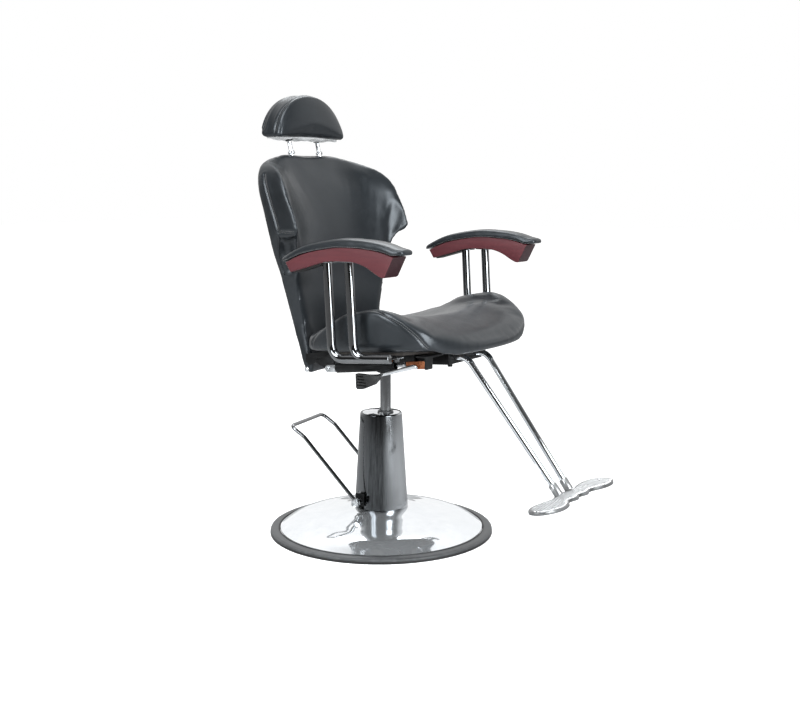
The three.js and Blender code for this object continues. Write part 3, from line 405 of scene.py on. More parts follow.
def rounded_line(points, radii, steps=5):
    """The polyline with its inner corners turned to arcs. radii is one number or one per corner."""
    points = [np.array(p, float) for p in points]
    if np.isscalar(radii):
        radii = [radii] * (len(points) - 2)
    out = [points[0]]
    for before, corner, after, radius in zip(points, points[1:], points[2:], radii):
        back, ahead = before - corner, after - corner
        length = min(np.linalg.norm(back), np.linalg.norm(ahead))
        back, ahead = back / np.linalg.norm(back), ahead / np.linalg.norm(ahead)
        half = math.acos(max(-1.0, min(1.0, float(back @ ahead)))) / 2
        if radius <= 0 or half > math.radians(89):
            out.append(corner)
            continue
        reach = min(radius / math.tan(half), 0.49 * length)
        radius = reach * math.tan(half)
        middle = (back + ahead) / np.linalg.norm(back + ahead)
        centre = corner + middle * (radius / math.sin(half))
        first, last = corner + back * reach - centre, corner + ahead * reach - centre
        sweep = math.pi - 2 * half
        for k in range(steps + 1):
            t = k / steps
            arc = (math.sin((1 - t) * sweep) * first + math.sin(t * sweep) * last) / math.sin(sweep)
            out.append(centre + arc)
    out.append(points[-1])
    return np.array(out)


def lathe(name, profile, material, body, nodes=(), centre=(0.0, 0.0), segments=128, sharp=35.0):
    """A turned piece. The profile is (radius, height) pairs that close on the axis or on themselves."""
    profile = np.asarray(profile, float)
    angles = np.linspace(0, 2 * math.pi, segments, endpoint=False)
    rings = [np.stack([centre[0] + r * np.cos(angles), centre[1] + r * np.sin(angles),
                       np.full(segments, z)], -1) for r, z in profile]
    vertices = np.concatenate(rings)
    faces = []
    for i in range(len(profile) - 1):
        for j in range(segments):
            k = (j + 1) % segments
            faces.append((i * segments + j, i * segments + k, (i + 1) * segments + k, (i + 1) * segments + j))
    obj = piece(name, vertices, faces, material, body, nodes, sharp)
    bm = bmesh.new()
    bm.from_mesh(obj.data)
    bmesh.ops.dissolve_degenerate(bm, edges=bm.edges, dist=1e-7)
    bmesh.ops.holes_fill(bm, edges=[e for e in bm.edges if e.is_boundary], sides=0)
    bmesh.ops.recalc_face_normals(bm, faces=bm.faces)
    bm.to_mesh(obj.data)
    bm.free()
    obj.data.polygons.foreach_set("use_smooth", [True] * len(obj.data.polygons))
    obj.data.set_sharp_from_angle(angle=math.radians(sharp))
    return obj


def sweep_line(path, sections, up=(1.0, 0.0, 0.0), caps=True):
    """Vertices and faces of a closed skin through one section per path point. Sections hold (side, rise) pairs."""
    path = np.asarray(path, float)
    tangents = np.gradient(path, axis=0)
    tangents /= np.linalg.norm(tangents, axis=1)[:, None]
    side = np.array(up, float)
    rows = []
    for point, tangent, section in zip(path, tangents, sections):
        side = side - tangent * (side @ tangent)
        side /= np.linalg.norm(side)
        rise = np.cross(side, tangent)
        rows.append(point + section[:, :1] * side + section[:, 1:] * rise)
    n = len(rows[0])
    faces = [(i * n + j, i * n + (j + 1) % n, (i + 1) * n + (j + 1) % n, (i + 1) * n + j)
             for i in range(len(rows) - 1) for j in range(n)]
    if caps:
        faces.append(tuple(range(n)))
        faces.append(tuple(range((len(rows) - 1) * n, len(rows) * n)))
    return np.concatenate(rows), faces


def circle(radius, sides=28):
    angles = np.linspace(0, 2 * math.pi, sides, endpoint=False)
    return np.stack([radius * np.cos(angles), radius * np.sin(angles)], -1)


def resample(path, spacing):
    path = np.asarray(path, float)
    lengths = np.concatenate([[0], np.cumsum(np.linalg.norm(np.diff(path, axis=0), axis=1))])
    count = max(2, int(round(lengths[-1] / spacing)) + 1)
    at = np.linspace(0, lengths[-1], count)
    return np.stack([np.interp(at, lengths, path[:, k]) for k in range(path.shape[1])], -1)


def tube_form(corners, bend, radius, plug=0.0, sides=28, spacing=5.0):
    """A bent tube. A positive plug rounds both ends off over that length, as a pressed-in end plug does."""
    path = resample(rounded_line(corners, bend, 14), spacing)
    radii = np.full(len(path), radius)
    if plug > 0:
        first, last = path[0] - path[1], path[-1] - path[-2]
        first, last = first / np.linalg.norm(first), last / np.linalg.norm(last)
        turn = np.linspace(0, math.pi / 2, 6)[1:]
        head = [(path[0] + first * plug * math.sin(a), radius * max(math.cos(a), 0.05)) for a in turn]
        tail = [(path[-1] + last * plug * math.sin(a), radius * max(math.cos(a), 0.05)) for a in turn]
        path = np.concatenate([[p for p, _ in head[::-1]], path, [p for p, _ in tail]])
        radii = np.concatenate([[r for _, r in head[::-1]], radii, [r for _, r in tail]])
    return sweep_line(path, [circle(r, sides) for r in radii])


def merged(*forms):
    vertices, faces, start = [], [], 0
    for form_vertices, form_faces in forms:
        vertices.append(np.asarray(form_vertices, float))
        faces += [tuple(i + start for i in face) for face in form_faces]
        start += len(form_vertices)
    return np.concatenate(vertices), faces


def slab_form(outline, low, high, axis, bevel, steps=3):
    """A flat plate from a closed outline, with rounded rims: axis 0 extrudes along x, axis 2 along z."""
    outline = np.asarray(outline, float)
    if np.sum(np.cross(outline, np.roll(outline, -1, 0))) < 0:
        outline = outline[::-1]
    ahead, behind = np.roll(outline, -1, 0) - outline, outline - np.roll(outline, 1, 0)
    normal = ahead / np.linalg.norm(ahead, axis=1)[:, None] + behind / np.linalg.norm(behind, axis=1)[:, None]
    normal = np.stack([normal[:, 1], -normal[:, 0]], -1)
    normal /= np.linalg.norm(normal, axis=1)[:, None]
    turns = [math.pi / 2 * k / steps for k in range(steps + 1)]
    levels = [(low + bevel * (1 - math.sin(a)), bevel * (1 - math.cos(a))) for a in turns[::-1]]
    levels += [(high - bevel * (1 - math.sin(a)), bevel * (1 - math.cos(a))) for a in turns]
    rows = []
    for level, inset in levels:
        ring = outline - normal * inset
        across = np.full((len(ring), 1), level)
        rows.append(np.hstack([across, ring]) if axis == 0 else np.hstack([ring, across]))
    n = len(outline)
    faces = [(i * n + j, i * n + (j + 1) % n, (i + 1) * n + (j + 1) % n, (i + 1) * n + j)
             for i in range(len(rows) - 1) for j in range(n)]
    faces += [tuple(range(n)), tuple(range((len(rows) - 1) * n, len(rows) * n))]
    return np.concatenate(rows), faces


def closed_smooth(points, per_span=6):
    """A closed Catmull-Rom outline through the points."""
    p = np.asarray(points, float)
    out = []
    for i in range(len(p)):
        a, b, c, d = p[i - 1], p[i], p[(i + 1) % len(p)], p[(i + 2) % len(p)]
        for k in range(per_span):
            t = k / per_span
            out.append(0.5 * (2 * b + (c - a) * t + (2 * a - 5 * b + 4 * c - d) * t**2
                              + (3 * b - a - 3 * c + d) * t**3))
    return np.array(out)


# ---------------------------------------------------------------- padded forms
def block_grid(nu, nv, nw, roundness):
    """Points and quads of a block's skin in -1..1, its edges rounded by a super-ellipsoid of this power."""
    bm = bmesh.new()
    for axis, counts in ((0, (nv, nw)), (1, (nu, nw)), (2, (nu, nv))):
        for sign in (-1, 1):
            rows = []
            for i in range(counts[0] + 1):
                row = []
                for j in range(counts[1] + 1):
                    place = [0, 0, 0]
                    others = [k for k in range(3) if k != axis]
                    place[axis] = sign
                    place[others[0]] = -1 + 2 * i / counts[0]
                    place[others[1]] = -1 + 2 * j / counts[1]
                    row.append(bm.verts.new(place))
                rows.append(row)
            for i in range(counts[0]):
                for j in range(counts[1]):
                    bm.faces.new((rows[i][j], rows[i + 1][j], rows[i + 1][j + 1], rows[i][j + 1]))
    bmesh.ops.remove_doubles(bm, verts=bm.verts, dist=1e-5)
    bmesh.ops.recalc_face_normals(bm, faces=bm.faces)
    points = np.array([v.co for v in bm.verts])
    faces = [tuple(v.index for v in f.verts) for f in bm.faces]
    bm.free()
    size = np.abs(points)
    shrink = np.max(size, axis=1) / np.maximum(np.sum(size**roundness, axis=1) ** (1 / roundness), 1e-9)
    return points * shrink[:, None], faces


def smooth_mesh(obj, rounds, share=0.5):
    bm = bmesh.new()
    bm.from_mesh(obj.data)
    for _ in range(rounds):
        bmesh.ops.smooth_vert(bm, verts=bm.verts, factor=share, use_axis_x=True, use_axis_y=True,
                              use_axis_z=True)
    bm.to_mesh(obj.data)
    bm.free()


def apply_modifier(obj, kind, **settings):
    modifier = obj.modifiers.new(kind.lower(), kind)
    for key, value in settings.items():
        setattr(modifier, key, value)
    bake_modifiers(obj)


def bake_modifiers(obj):
    graph = bpy.context.evaluated_depsgraph_get()
    mesh = bpy.data.meshes.new_from_object(obj.evaluated_get(graph))
    obj.modifiers.clear()
    old = obj.data
    obj.data = mesh
    bpy.data.meshes.remove(old)


def inflate(obj, cap_mm, seams, hold_mm=7.0, pressure=4.0, extra_hold=None):
    """Cloth under pressure: the skin fills out between its seams, and no point moves further than the cap."""
    rest = vectors(obj)
    hold = np.zeros(len(rest))
    for seam in seams:
        distance = line_distance(rest / MM, seam)
        hold = np.maximum(hold, np.clip(1.6 - distance / hold_mm, 0, 1))
    if extra_hold is not None:
        hold = np.maximum(hold, extra_hold(rest / MM))
    group = obj.vertex_groups.new(name="hold")
    for i in np.nonzero(hold > 0)[0]:
        group.add([int(i)], float(hold[i]), "REPLACE")
    cloth = obj.modifiers.new("cloth", "CLOTH")
    settings = cloth.settings
    settings.quality = 4
    settings.mass = 0.3
    settings.tension_stiffness = settings.compression_stiffness = 25
    settings.shear_stiffness = 12
    settings.bending_stiffness = 4
    settings.use_pressure = True
    settings.uniform_pressure_force = pressure
    settings.effector_weights.gravity = 0
    settings.vertex_group_mass = "hold"
    settings.pin_stiffness = 4
    cloth.collision_settings.use_collision = False
    cloth.point_cache.frame_start, cloth.point_cache.frame_end = 1, 20
    scene = bpy.context.scene
    for step in range(1, 21):
        scene.frame_set(step)
    bake_modifiers(obj)
    scene.frame_set(1)
    moved = vectors(obj) - rest
    length = np.linalg.norm(moved, axis=1)
    cap = cap_mm * MM
    moved *= (cap * np.tanh(length / cap) / np.maximum(length, 1e-9))[:, None]
    set_vectors(obj, rest + moved)
    obj.vertex_groups.clear()


def line_distance(points, line):
    """Distance from each point to a polyline, in the polyline's own unit."""
    line = np.asarray(line, float)
    best = np.full(len(points), np.inf)
    for a, b in zip(line[:-1], line[1:]):
        d = b - a
        t = np.clip(((points - a) @ d) / max(float(d @ d), 1e-12), 0, 1)
        best = np.minimum(best, np.linalg.norm(points - a - t[:, None] * d, axis=1))
    return best


def surface_of(obj):
    bm = bmesh.new()
    bm.from_mesh(obj.data)
    tree = BVHTree.FromBMesh(bm)
    bm.free()
    return tree


def laid_on(tree, line, spacing=3.0):
    """The line resampled and dropped on the surface: points in millimetres, and normals."""
    points, normals = [], []
    for p in resample(line, spacing):
        hit, normal, _, _ = tree.find_nearest(Vector(p * MM))
        points.append(np.array(hit) / MM)
        normals.append(np.array(normal))
    points, normals = np.array(points), np.array(normals)
    for _ in range(3):
        points[1:-1] = (points[:-2] + 2 * points[1:-1] + points[2:]) / 4
        normals[1:-1] = (normals[:-2] + 2 * normals[1:-1] + normals[2:]) / 4
    normals /= np.linalg.norm(normals, axis=1)[:, None]
    return points, normals


def groove(obj, lines, depth=1.6, width=3.4, shoulder=0.7):
    """Seams pulled into the skin: a narrow valley with a soft shoulder on each side."""
    co = vectors(obj) / MM
    normals = np.zeros(len(co) * 3, np.float32)
    obj.data.vertices.foreach_get("normal", normals)
    normals = normals.reshape(-1, 3)
    push = np.zeros(len(co))
    for line in lines:
        low, high = line.min(0) - 14, line.max(0) + 14
        near = np.nonzero(np.all((co > low) & (co < high), axis=1))[0]
        distance = line_distance(co[near], line)
        valley = -depth * np.exp(-((distance / width) ** 2))
        swell = shoulder * np.exp(-(((distance - 2.4 * width) / (1.3 * width)) ** 2))
        push[near] += valley + swell
    set_vectors(obj, (co + normals * push[:, None]) * MM)


def capsule_form(a, b, radius, lift, sides=6):
    """One stitch: a thread from a to b that dips into the leather at both ends."""
    path = [a + (b - a) * t + lift * height for t, height in
            ((0.0, -1.0), (0.12, 0.1), (0.5, 0.5), (0.88, 0.1), (1.0, -1.0))]
    sizes = (0.55, 1.0, 1.0, 1.0, 0.55)
    start = np.cross(b - a, lift)
    if np.linalg.norm(start) < 1e-6:
        start = np.array([1.0, 0.0, 0.0])
    return sweep_line(path, [circle(radius * size, sides) for size in sizes], up=start)


def stitches(name, obj, lines, body, offsets=(-2.6, 2.6), length=3.6, pitch=5.0, radius=0.5):
    """Rows of thread beside each seam line, laid on the finished skin."""
    tree = surface_of(obj)
    forms = []
    for line in lines:
        points, normals = laid_on(tree, line, 2.0)
        tangents = np.gradient(points, axis=0)
        tangents /= np.maximum(np.linalg.norm(tangents, axis=1)[:, None], 1e-9)
        side = np.cross(normals, tangents)
        for offset in offsets:
            row = [np.array(tree.find_nearest(Vector((p + s * offset) * MM))[0]) / MM
                   for p, s in zip(points, side)]
            row = resample(np.array(row), pitch / 4)
            count = (len(row) - 1) // 4
            for k in range(count):
                a = row[4 * k]
                b = row[min(4 * k + 3, len(row) - 1)]
                hit, normal, _, _ = tree.find_nearest(Vector((a + b) / 2 * MM))
                lift = np.array(normal) * radius
                forms.append(capsule_form(a, a + (b - a) * (length / (0.75 * pitch)), radius, lift))
    vertices, faces = merged(*forms)
    return piece(name, vertices, faces, "thread", body)


def piping(name, obj, lines, body, radius=2.2, sink=0.5, material="black_leather"):
    """A welt cord sewn along each line."""
    tree = surface_of(obj)
    forms = []
    for line in lines:
        points, normals = laid_on(tree, line, 3.0)
        points = points + normals * (radius * (1 - sink))
        taper = np.minimum(1, np.minimum(np.arange(len(points)), np.arange(len(points))[::-1]) / 2 + 0.3)
        forms.append(sweep_line(points, [circle(radius * t, 12) for t in taper], up=(0.3, 0.2, 0.9)))
    vertices, faces = merged(*forms)
    return piece(name, vertices, faces, material, body)


def padded(name, node, body, grid, form, seams=(), voxel=5.0, rounds=6, cap=6.0, shrink=2.0,
           material="black_leather", keep=None, groove_depth=1.6, after=3):
    """A soft piece: its form is remeshed evenly, filled out as cloth, subdivided, then its seams are sewn in."""
    points, faces = block_grid(*grid)
    vertices = form(points[:, 0], points[:, 1], points[:, 2])
    obj = piece(name, vertices, faces, material, body, (node,), sharp=180)
    obj.parent = None
    apply_modifier(obj, "REMESH", mode="VOXEL", voxel_size=voxel * MM, use_smooth_shade=True)
    smooth_mesh(obj, rounds)
    normals = np.zeros(len(obj.data.vertices) * 3, np.float32)
    obj.data.vertices.foreach_get("normal", normals)
    set_vectors(obj, vectors(obj) - normals.reshape(-1, 3) * shrink * MM)
    inflate(obj, cap, seams, extra_hold=keep)
    smooth_mesh(obj, after, 0.5)
    apply_modifier(obj, "SUBSURF", levels=1, render_levels=1)
    tree = surface_of(obj)
    sewn = [laid_on(tree, seam)[0] for seam in seams]
    if sewn:
        groove(obj, sewn, depth=groove_depth)
    obj.data.polygons.foreach_set("use_smooth", [True] * len(obj.data.polygons))
    obj.data.materials.clear()
    obj.data.materials.append(MATERIAL[material])
    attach(obj, body)
    return obj, sewn


# ---------------------------------------------------------------- round base, pump and ram
RING_WIDTH = 25.0
SHELL = 1.8
DOME = [[62, 66], [73, 66], [120, 57.5], [170, 48.5], [212, 41], [226, 37], [245, 28], [266, 15]]


def build_base():
    radii = np.linspace(DOME[0][0], DOME[-1][0], 52)
    outer = [(r, float(curve_through(DOME, r))) for r in radii]
    inner = [(r, z - SHELL) for r, z in outer[::-1]]
    lathe("base_dome", outer + inner + outer[:1], "dome_chrome_painted_light", "base", ("base_cover",), segments=180)

    low, top = 0.0, RING_HEIGHT
    inside = BASE_RADIUS - RING_WIDTH + 0.3
    profile = [(inside, low + 6), (inside, low), (BASE_RADIUS, low), (BASE_RADIUS, top - 3.5),
               (BASE_RADIUS - 7, top - 1), (inside + 3, top), (inside, top - 3), (inside, low + 6)]
    ring = rounded_line(profile, [0.6, 1.5, 2.0, 6.0, 1.8, 1.2])
    lathe("base_trim", ring, "rubber", "base", ("base_ring",), segments=180)
    lip = rounded_line([(inside + 1.2, top - 1), (inside + 1.2, top + 1.3), (inside + 4.2, top + 1.0),
                        (inside + 4.2, top - 1), (inside + 1.2, top - 1)], [0.8, 0.8, 0.3])
    lathe("base_trim_lip", lip, "black_plastic", "base", segments=180)
    edge = [(BASE_RADIUS - 1, 0.4), (BASE_RADIUS + 0.8, 0.4), (BASE_RADIUS + 0.8, 6.2), (BASE_RADIUS - 1, 6.6),
            (BASE_RADIUS - 1, 0.4)]
    lathe("base_trim_edge", rounded_line(edge, [0.5, 0.6, 0.5]), "black_plastic", "base", segments=180)


def build_sleeve():
    top = SLEEVE_HIGH[2]
    low = SLEEVE_LOW[2]
    bottom_radius, top_radius, wall = 70.0, 55.0, 1.6
    profile = [(bottom_radius, low + 2), (bottom_radius, low), (bottom_radius - wall, low),
               (top_radius - wall - 1, top - 4), (top_radius - 5, top - 0.4), (top_radius - 2, top),
               (top_radius, top - 3), (bottom_radius, low + 2)]
    skin = rounded_line(profile, [0.3, 0.3, 0.6, 0.8, 1.6, 2.2])
    sleeve = lathe("sleeve_shell", skin, "brushed_chrome", "base", ("pump_sleeve",), segments=192)
    cut_guard_slots(sleeve, low)

    cap = box_mm("sleeve_cap")
    seal = rounded_line([(RAM_RADIUS + GAP, cap[1][2] + GAP), (21, cap[1][2] + GAP), (20, cap[1][2] + 4.5),
                         (17, cap[1][2] + 7.2), (RAM_RADIUS + GAP, cap[1][2] + 7.2),
                         (RAM_RADIUS + GAP, cap[1][2] + GAP)], [0.6, 1.5, 1.0, 0.8])
    lathe("ram_seal", seal, "rubber", "base", ("ram_wiper",), centre=(0.0, RAM_Y), segments=96)


def build_cap_bolts():
    """Two small bolts in the sleeve's top plate."""
    top = box_mm("sleeve_cap")[1][2]
    for i, angle in enumerate((math.radians(35), math.radians(215))):
        x, y = 37 * math.cos(angle), 37 * math.sin(angle)
        path = [(x, y, top - 0.5), (x, y, top + 0.3), (x, y, top + 4.2), (x, y, top + 5)]
        form = sweep_line(path, [circle(r, 6) for r in (4.4, 4.6, 4.6, 3.8)], up=(1, 0, 0))
        piece(f"cap_bolt_{i + 1}", *form, "zinc", "base")


def cut_guard_slots(sleeve, low):
    """The shell is open round the pedal shaft, behind the black guards."""
    for side, _ in SIDES:
        bm = bmesh.new()
        bmesh.ops.create_cube(bm, size=1.0)
        turn = Matrix.Rotation(PEDAL_YAW, 4, "Z")
        size = Matrix.Diagonal((30 * MM, 22 * MM, 92 * MM, 1))
        across = pump_point(side * 66, PEDAL_OUT, low + 2) * MM
        bm.transform(Matrix.Translation(Vector(across)) @ turn @ size)
        mesh = bpy.data.meshes.new("slot_room")
        bm.to_mesh(mesh)
        bm.free()
        room = bpy.data.objects.new("slot_room", mesh)
        bpy.context.scene.collection.objects.link(room)
        cut = sleeve.modifiers.new("slot", "BOOLEAN")
        cut.operation, cut.object, cut.solver = "DIFFERENCE", room, "EXACT"
        parent, sleeve.parent = sleeve.parent, None
        bake_modifiers(sleeve)
        sleeve.parent = parent
        bpy.data.objects.remove(room)
    sleeve.data.set_sharp_from_angle(angle=math.radians(35))


RAM_RADIUS = 14.0
PEDAL_YAW = math.radians(10)
PEDAL_OUT = 30.0
PEDAL_Z = 92.0
PEDAL_HALF = 89.0


def pump_point(across, out, z):
    c, s = math.cos(PEDAL_YAW), math.sin(PEDAL_YAW)
    return np.array([across * c - out * s, across * s + out * c, z])


def build_ram():
    piston = box_mm("lift_ram")[1][0]
    low, top = RAM_LOW[2], RAM_HIGH[2]
    profile = [(0, low), (piston, low), (piston, low + 18), (RAM_RADIUS, low + 18),
               (RAM_RADIUS, top - 4), (RAM_RADIUS - 3, top), (0, top)]
    lathe("ram_rod", rounded_line(profile, [1, 1, 1, 1, 1]), "tube_chrome_painted_shade", "ram", ("lift_ram",),
          centre=(0.0, RAM_Y), segments=96)


def build_pedal():
    def loop_end(side):
        return pump_point(side * PEDAL_HALF, PEDAL_OUT + 7, PEDAL_Z + 7.5)

    corners = [
        loop_end(-1),
        pump_point(-PEDAL_HALF, PEDAL_OUT + 150, PEDAL_Z + 160),
        pump_point(-PEDAL_HALF, PEDAL_OUT + 189, PEDAL_Z + 186),
        pump_point(PEDAL_HALF, PEDAL_OUT + 189, PEDAL_Z + 186),
        pump_point(PEDAL_HALF, PEDAL_OUT + 150, PEDAL_Z + 160),
        loop_end(1),
    ]
    loop = tube_form(corners, [14, 14, 14, 14], 5.0, sides=20, spacing=4.0)
    eyes = []
    for side, _ in SIDES:
        across = [pump_point(side * (PEDAL_HALF + d), PEDAL_OUT, PEDAL_Z) for d in (-6, -5.2, 5.2, 6)]
        eyes.append(ring_form(across, [11.6, 12.5, 12.5, 11.6], 7.35))
    vertices, faces = merged(loop, *eyes)
    piece("pedal_rod", vertices, faces, "tube_chrome_painted_shade", "pedal", ("pedal_loop",))


def ring_form(path, radii, bore, sides=40):
    """A thick ring about a straight path: outer radii per point, and one bore radius."""
    outer, _ = sweep_line(path, [circle(r, sides) for r in radii], caps=False, up=(0, 0, 1))
    inner, _ = sweep_line(path, [circle(bore, sides) for _ in radii], caps=False, up=(0, 0, 1))
    rows = [outer[i * sides:(i + 1) * sides] for i in range(len(path))]
    rows += [inner[i * sides:(i + 1) * sides] for i in range(len(path))][::-1]
    n = len(rows)
    faces = [(i * sides + j, i * sides + (j + 1) % sides, ((i + 1) % n) * sides + (j + 1) % sides,
              ((i + 1) % n) * sides + j) for i in range(n) for j in range(sides)]
    return np.concatenate(rows), faces


# ---------------------------------------------------------------- seat cushion
SEAT_TILT = math.radians(4)
MECHANISM_Z = 470.0
SEAT_UNDER = MECHANISM_Z + 35.0


def seat_rear(x):
    return 120 - 90 * (np.abs(x) / 270) ** 2.6


def seat_front(x):
    return -338 + 29 * (np.abs(x) / 205) ** 2.4


def seat_half_width(v):
    return 283 - 30 * np.maximum(0, v) ** 3 - 29 * np.maximum(0, -v) ** 3


SEAT_CROWN = [[-335, 544], [-315, 561], [-290, 571], [-255, 581], [-215, 587], [-170, 580], [-120, 568],
              [-60, 558], [0, 552], [60, 548], [120, 540]]
SEAT_BOLSTER = [[-310, 0.2], [-240, 0.6], [-170, 1], [-90, 1.05], [-20, 0.6], [40, 0.15], [100, 0]]


def seat_top(x, y):
    ridge = 52 * (np.abs(x) / 270) ** 2.4 * curve_through(SEAT_BOLSTER, y)
    valley = 8 * np.exp(-(((np.abs(x) - 205) / 34) ** 2)) * np.exp(-(((y + 165) / 95) ** 2))
    dish = 5 * np.exp(-((x / 150) ** 2) - ((y + 20) / 90) ** 2)
    return curve_through(SEAT_CROWN, y) + ridge - valley - dish


def seat_form(u, v, w):
    inset = 1 - 0.045 * np.abs(w) ** 6
    x = u * seat_half_width(v) * inset * (1 - 0.04 * v**8)
    centre = (seat_front(x) + seat_rear(x)) / 2
    y = centre + v * inset * (seat_rear(x) - seat_front(x)) / 2
    nose_drop = 20 * np.clip((-296 - y) / 16, 0, 1)
    low = SEAT_UNDER - math.sin(SEAT_TILT) * (y - RAM_Y) - nose_drop
    edge = np.maximum(np.abs(u), np.abs(v))
    high = seat_top(x, y) - 8 * edge**10
    return np.stack([x, y, low + (high - low) * (w + 1) / 2], -1)


SEAT_SEAM = [(-322, 518), (-306, 539), (-279, 564), (-238, 592), (-200, 608), (-169, 617), (-127, 618),
             (-83, 611), (-50, 600), (-24, 584), (0, 566), (21, 545), (34, 522)]


def build_seat():
    seams = []
    for side, _ in SIDES:
        line = [(side * (272 - 12 * (abs(y + 130) / 190) ** 2), y, z) for y, z in SEAT_SEAM]
        seams.append(rounded_line(line, 30, 4))

    def resting(points):
        """The underside stays flat on its board."""
        under = SEAT_UNDER - math.sin(SEAT_TILT) * (points[:, 1] - RAM_Y)
        return np.clip((under + 9 - points[:, 2]) / 6, 0, 1)

    seat, sewn = padded("seat_pad", "seat_cushion", "seat", (60, 50, 14, 30), seat_form, seams,
                        voxel=5.0, rounds=6, cap=5.0, shrink=1.5, keep=resting, after=5)
    stitches("seat_stitching", seat, sewn, "seat")
    return seat


# ---------------------------------------------------------------- back cushion and cover
COVER_EDGE = [[437, 113], [446, 118], [500, 137], [560, 158], [605, 163], [650, 166], [700, 171],
              [730, 173], [765, 173], [819, 184], [867, 199], [940, 222], [1000, 240]]
COVER_HALF_WIDTH = [[437, 176], [446, 178], [500, 176], [560, 175], [605, 186], [650, 199], [700, 213],
                    [730, 226], [765, 239], [860, 243], [905, 239], [935, 226], [955, 205], [970, 170],
                    [981, 112]]
COVER_BULGE = [[446, 10], [500, 12], [560, 14], [605, 17], [650, 21], [700, 28], [765, 34], [800, 33],
               [900, 30], [980, 24]]
FRONT_CENTRE = [[431, 106], [470, 112], [505, 125], [530, 133], [600, 131], [650, 134], [700, 140],
                [750, 146], [800, 153], [850, 166], [900, 184], [950, 205], [980, 219]]
FRONT_EDGE = [[431, 90], [470, 92], [500, 98], [530, 108], [560, 114], [605, 118], [650, 119], [700, 106],
              [745, 101], [765, 90], [785, 72], [793, 66], [811, 70], [839, 80], [870, 96], [900, 110],
              [925, 128], [948, 156], [966, 196], [985, 222]]
FRONT_HALF_WIDTH = [[431, 176], [500, 174], [560, 174], [605, 185], [650, 197], [700, 204], [745, 210],
                    [765, 224], [780, 243], [811, 247], [847, 247], [884, 245], [921, 237], [952, 215],
                    [965, 190], [976, 150], [986, 100]]
BACK_LOW, BACK_HIGH = 431.0, 985.0
WING_Z = 788.0


def cover_y(x, z):
    across = np.minimum(1, np.abs(x) / curve_through(COVER_HALF_WIDTH, z))
    return curve_through(COVER_EDGE, z) + curve_through(COVER_BULGE, z) * (1 - across**2)


def front_y(x, z):
    across = np.minimum(1, np.abs(x) / curve_through(FRONT_HALF_WIDTH, z))
    share = across**3
    return curve_through(FRONT_CENTRE, z) * (1 - share) + curve_through(FRONT_EDGE, z) * share


def smooth_step(value, low, high):
    t = np.clip((value - low) / (high - low), 0, 1)
    return t * t * (3 - 2 * t)


def back_form(u, v, w):
    """The upholstered back: a hollowed front face, winged above the arms, and a bowed rear face."""
    z = BACK_LOW + (BACK_HIGH - BACK_LOW) * (w + 1) / 2
    share = (v + 1) / 2
    pocket = smooth_step(z, 672, 700) * (1 - smooth_step(z, 770, 784))
    reach = share * (1 - pocket) + smooth_step(share, 0.5, 0.74) * pocket
    rear_half = curve_through(COVER_HALF_WIDTH, z)
    x = u * (curve_through(FRONT_HALF_WIDTH, z) * (1 - reach) + rear_half * reach)
    x -= u * 7 * pocket * np.exp(-(((share - 0.35) / 0.25) ** 2))
    y = front_y(x, z) * (1 - share) + (cover_y(x, z) - 1.5) * share
    dip = 4 * np.exp(-((x / 40) ** 2)) * smooth_step(w, 0.8, 1.0)
    return np.stack([x, y, z - dip], -1)


def build_back():
    seams = []
    for side, _ in SIDES:
        side_line = [(190, 940), (181, 916), (169, 886), (156, 851), (143, 819), (134, WING_Z)]
        seams.append(np.array([(side * 252, y, z) for y, z in side_line]))
        seams.append(np.array([(side * 252, y, WING_Z) for y in (134, 120, 105, 90, 80)]))

    def resting(points):
        """The rear face stays against its frame, and the foot stays thin."""
        rear = np.clip((points[:, 1] - cover_y(points[:, 0], points[:, 2]) + 9) / 5, 0, 1)
        return np.maximum(rear, np.clip((505 - points[:, 2]) / 40, 0, 1))

    back, sewn = padded("back_pad", "back_cushion", "backrest", (56, 14, 66, 44), back_form, seams,
                        voxel=5.0, rounds=5, cap=5.0, shrink=0.8, keep=resting, after=5)
    stitches("back_stitching", back, sewn, "backrest")
    welts = [np.array([(side * 232, y, z) for y, z in ((140, 786), (144, 760), (146, 730), (147, 700), (146, 674))])
             for side, _ in SIDES]
    piping("back_piping", back, welts, "backrest", radius=2.4)
    return back


PANEL_MARGIN = 15.0
PANEL_PROUD = 1.6


def panel_form(u, v, w):
    z = COVER_LOW + PANEL_MARGIN + (COVER_HIGH - COVER_LOW - 2 * PANEL_MARGIN) * (w + 1) / 2
    x = u * (curve_through(COVER_HALF_WIDTH, z) - PANEL_MARGIN)
    folds = 0.8 * np.sin(x / 19.0 + np.sin(z / 60.0) * 1.3) * np.clip((700 - z) / 240, 0, 1)
    folds *= np.clip(1 - (np.abs(x) / 190) ** 4, 0, 1)
    return np.stack([x, cover_y(x, z) + PANEL_PROUD - 3.5 * (1 - v) + folds * (v > 0), z], -1)


def build_rear_panel():
    """The panel sewn over the rear of the back, with a line of stitching inside its edge."""
    points, faces = block_grid(64, 2, 80, 40)
    vertices = panel_form(points[:, 0], points[:, 1], points[:, 2])
    panel = piece("back_shell", vertices, faces, "cover_leather_painted_shade", "backrest", ("back_cover",), sharp=60)
    margin = PANEL_MARGIN + 6
    lines = []
    heights = np.linspace(COVER_LOW + margin, COVER_HIGH - margin - 4, 60)
    for side, _ in SIDES:
        x = side * (curve_through(COVER_HALF_WIDTH, heights) - margin)
        lines.append(np.stack([x, cover_y(x, heights) + 2, heights], -1))
    for z in (COVER_LOW + margin, COVER_HIGH - margin):
        reach = float(curve_through(COVER_HALF_WIDTH, z)) - margin
        across = np.linspace(-reach, reach, 50)
        lines.append(np.stack([across, cover_y(across, z) + 2, np.full_like(across, z)], -1))
    stitches("cover_stitching", panel, lines, "backrest", offsets=(0.0,))


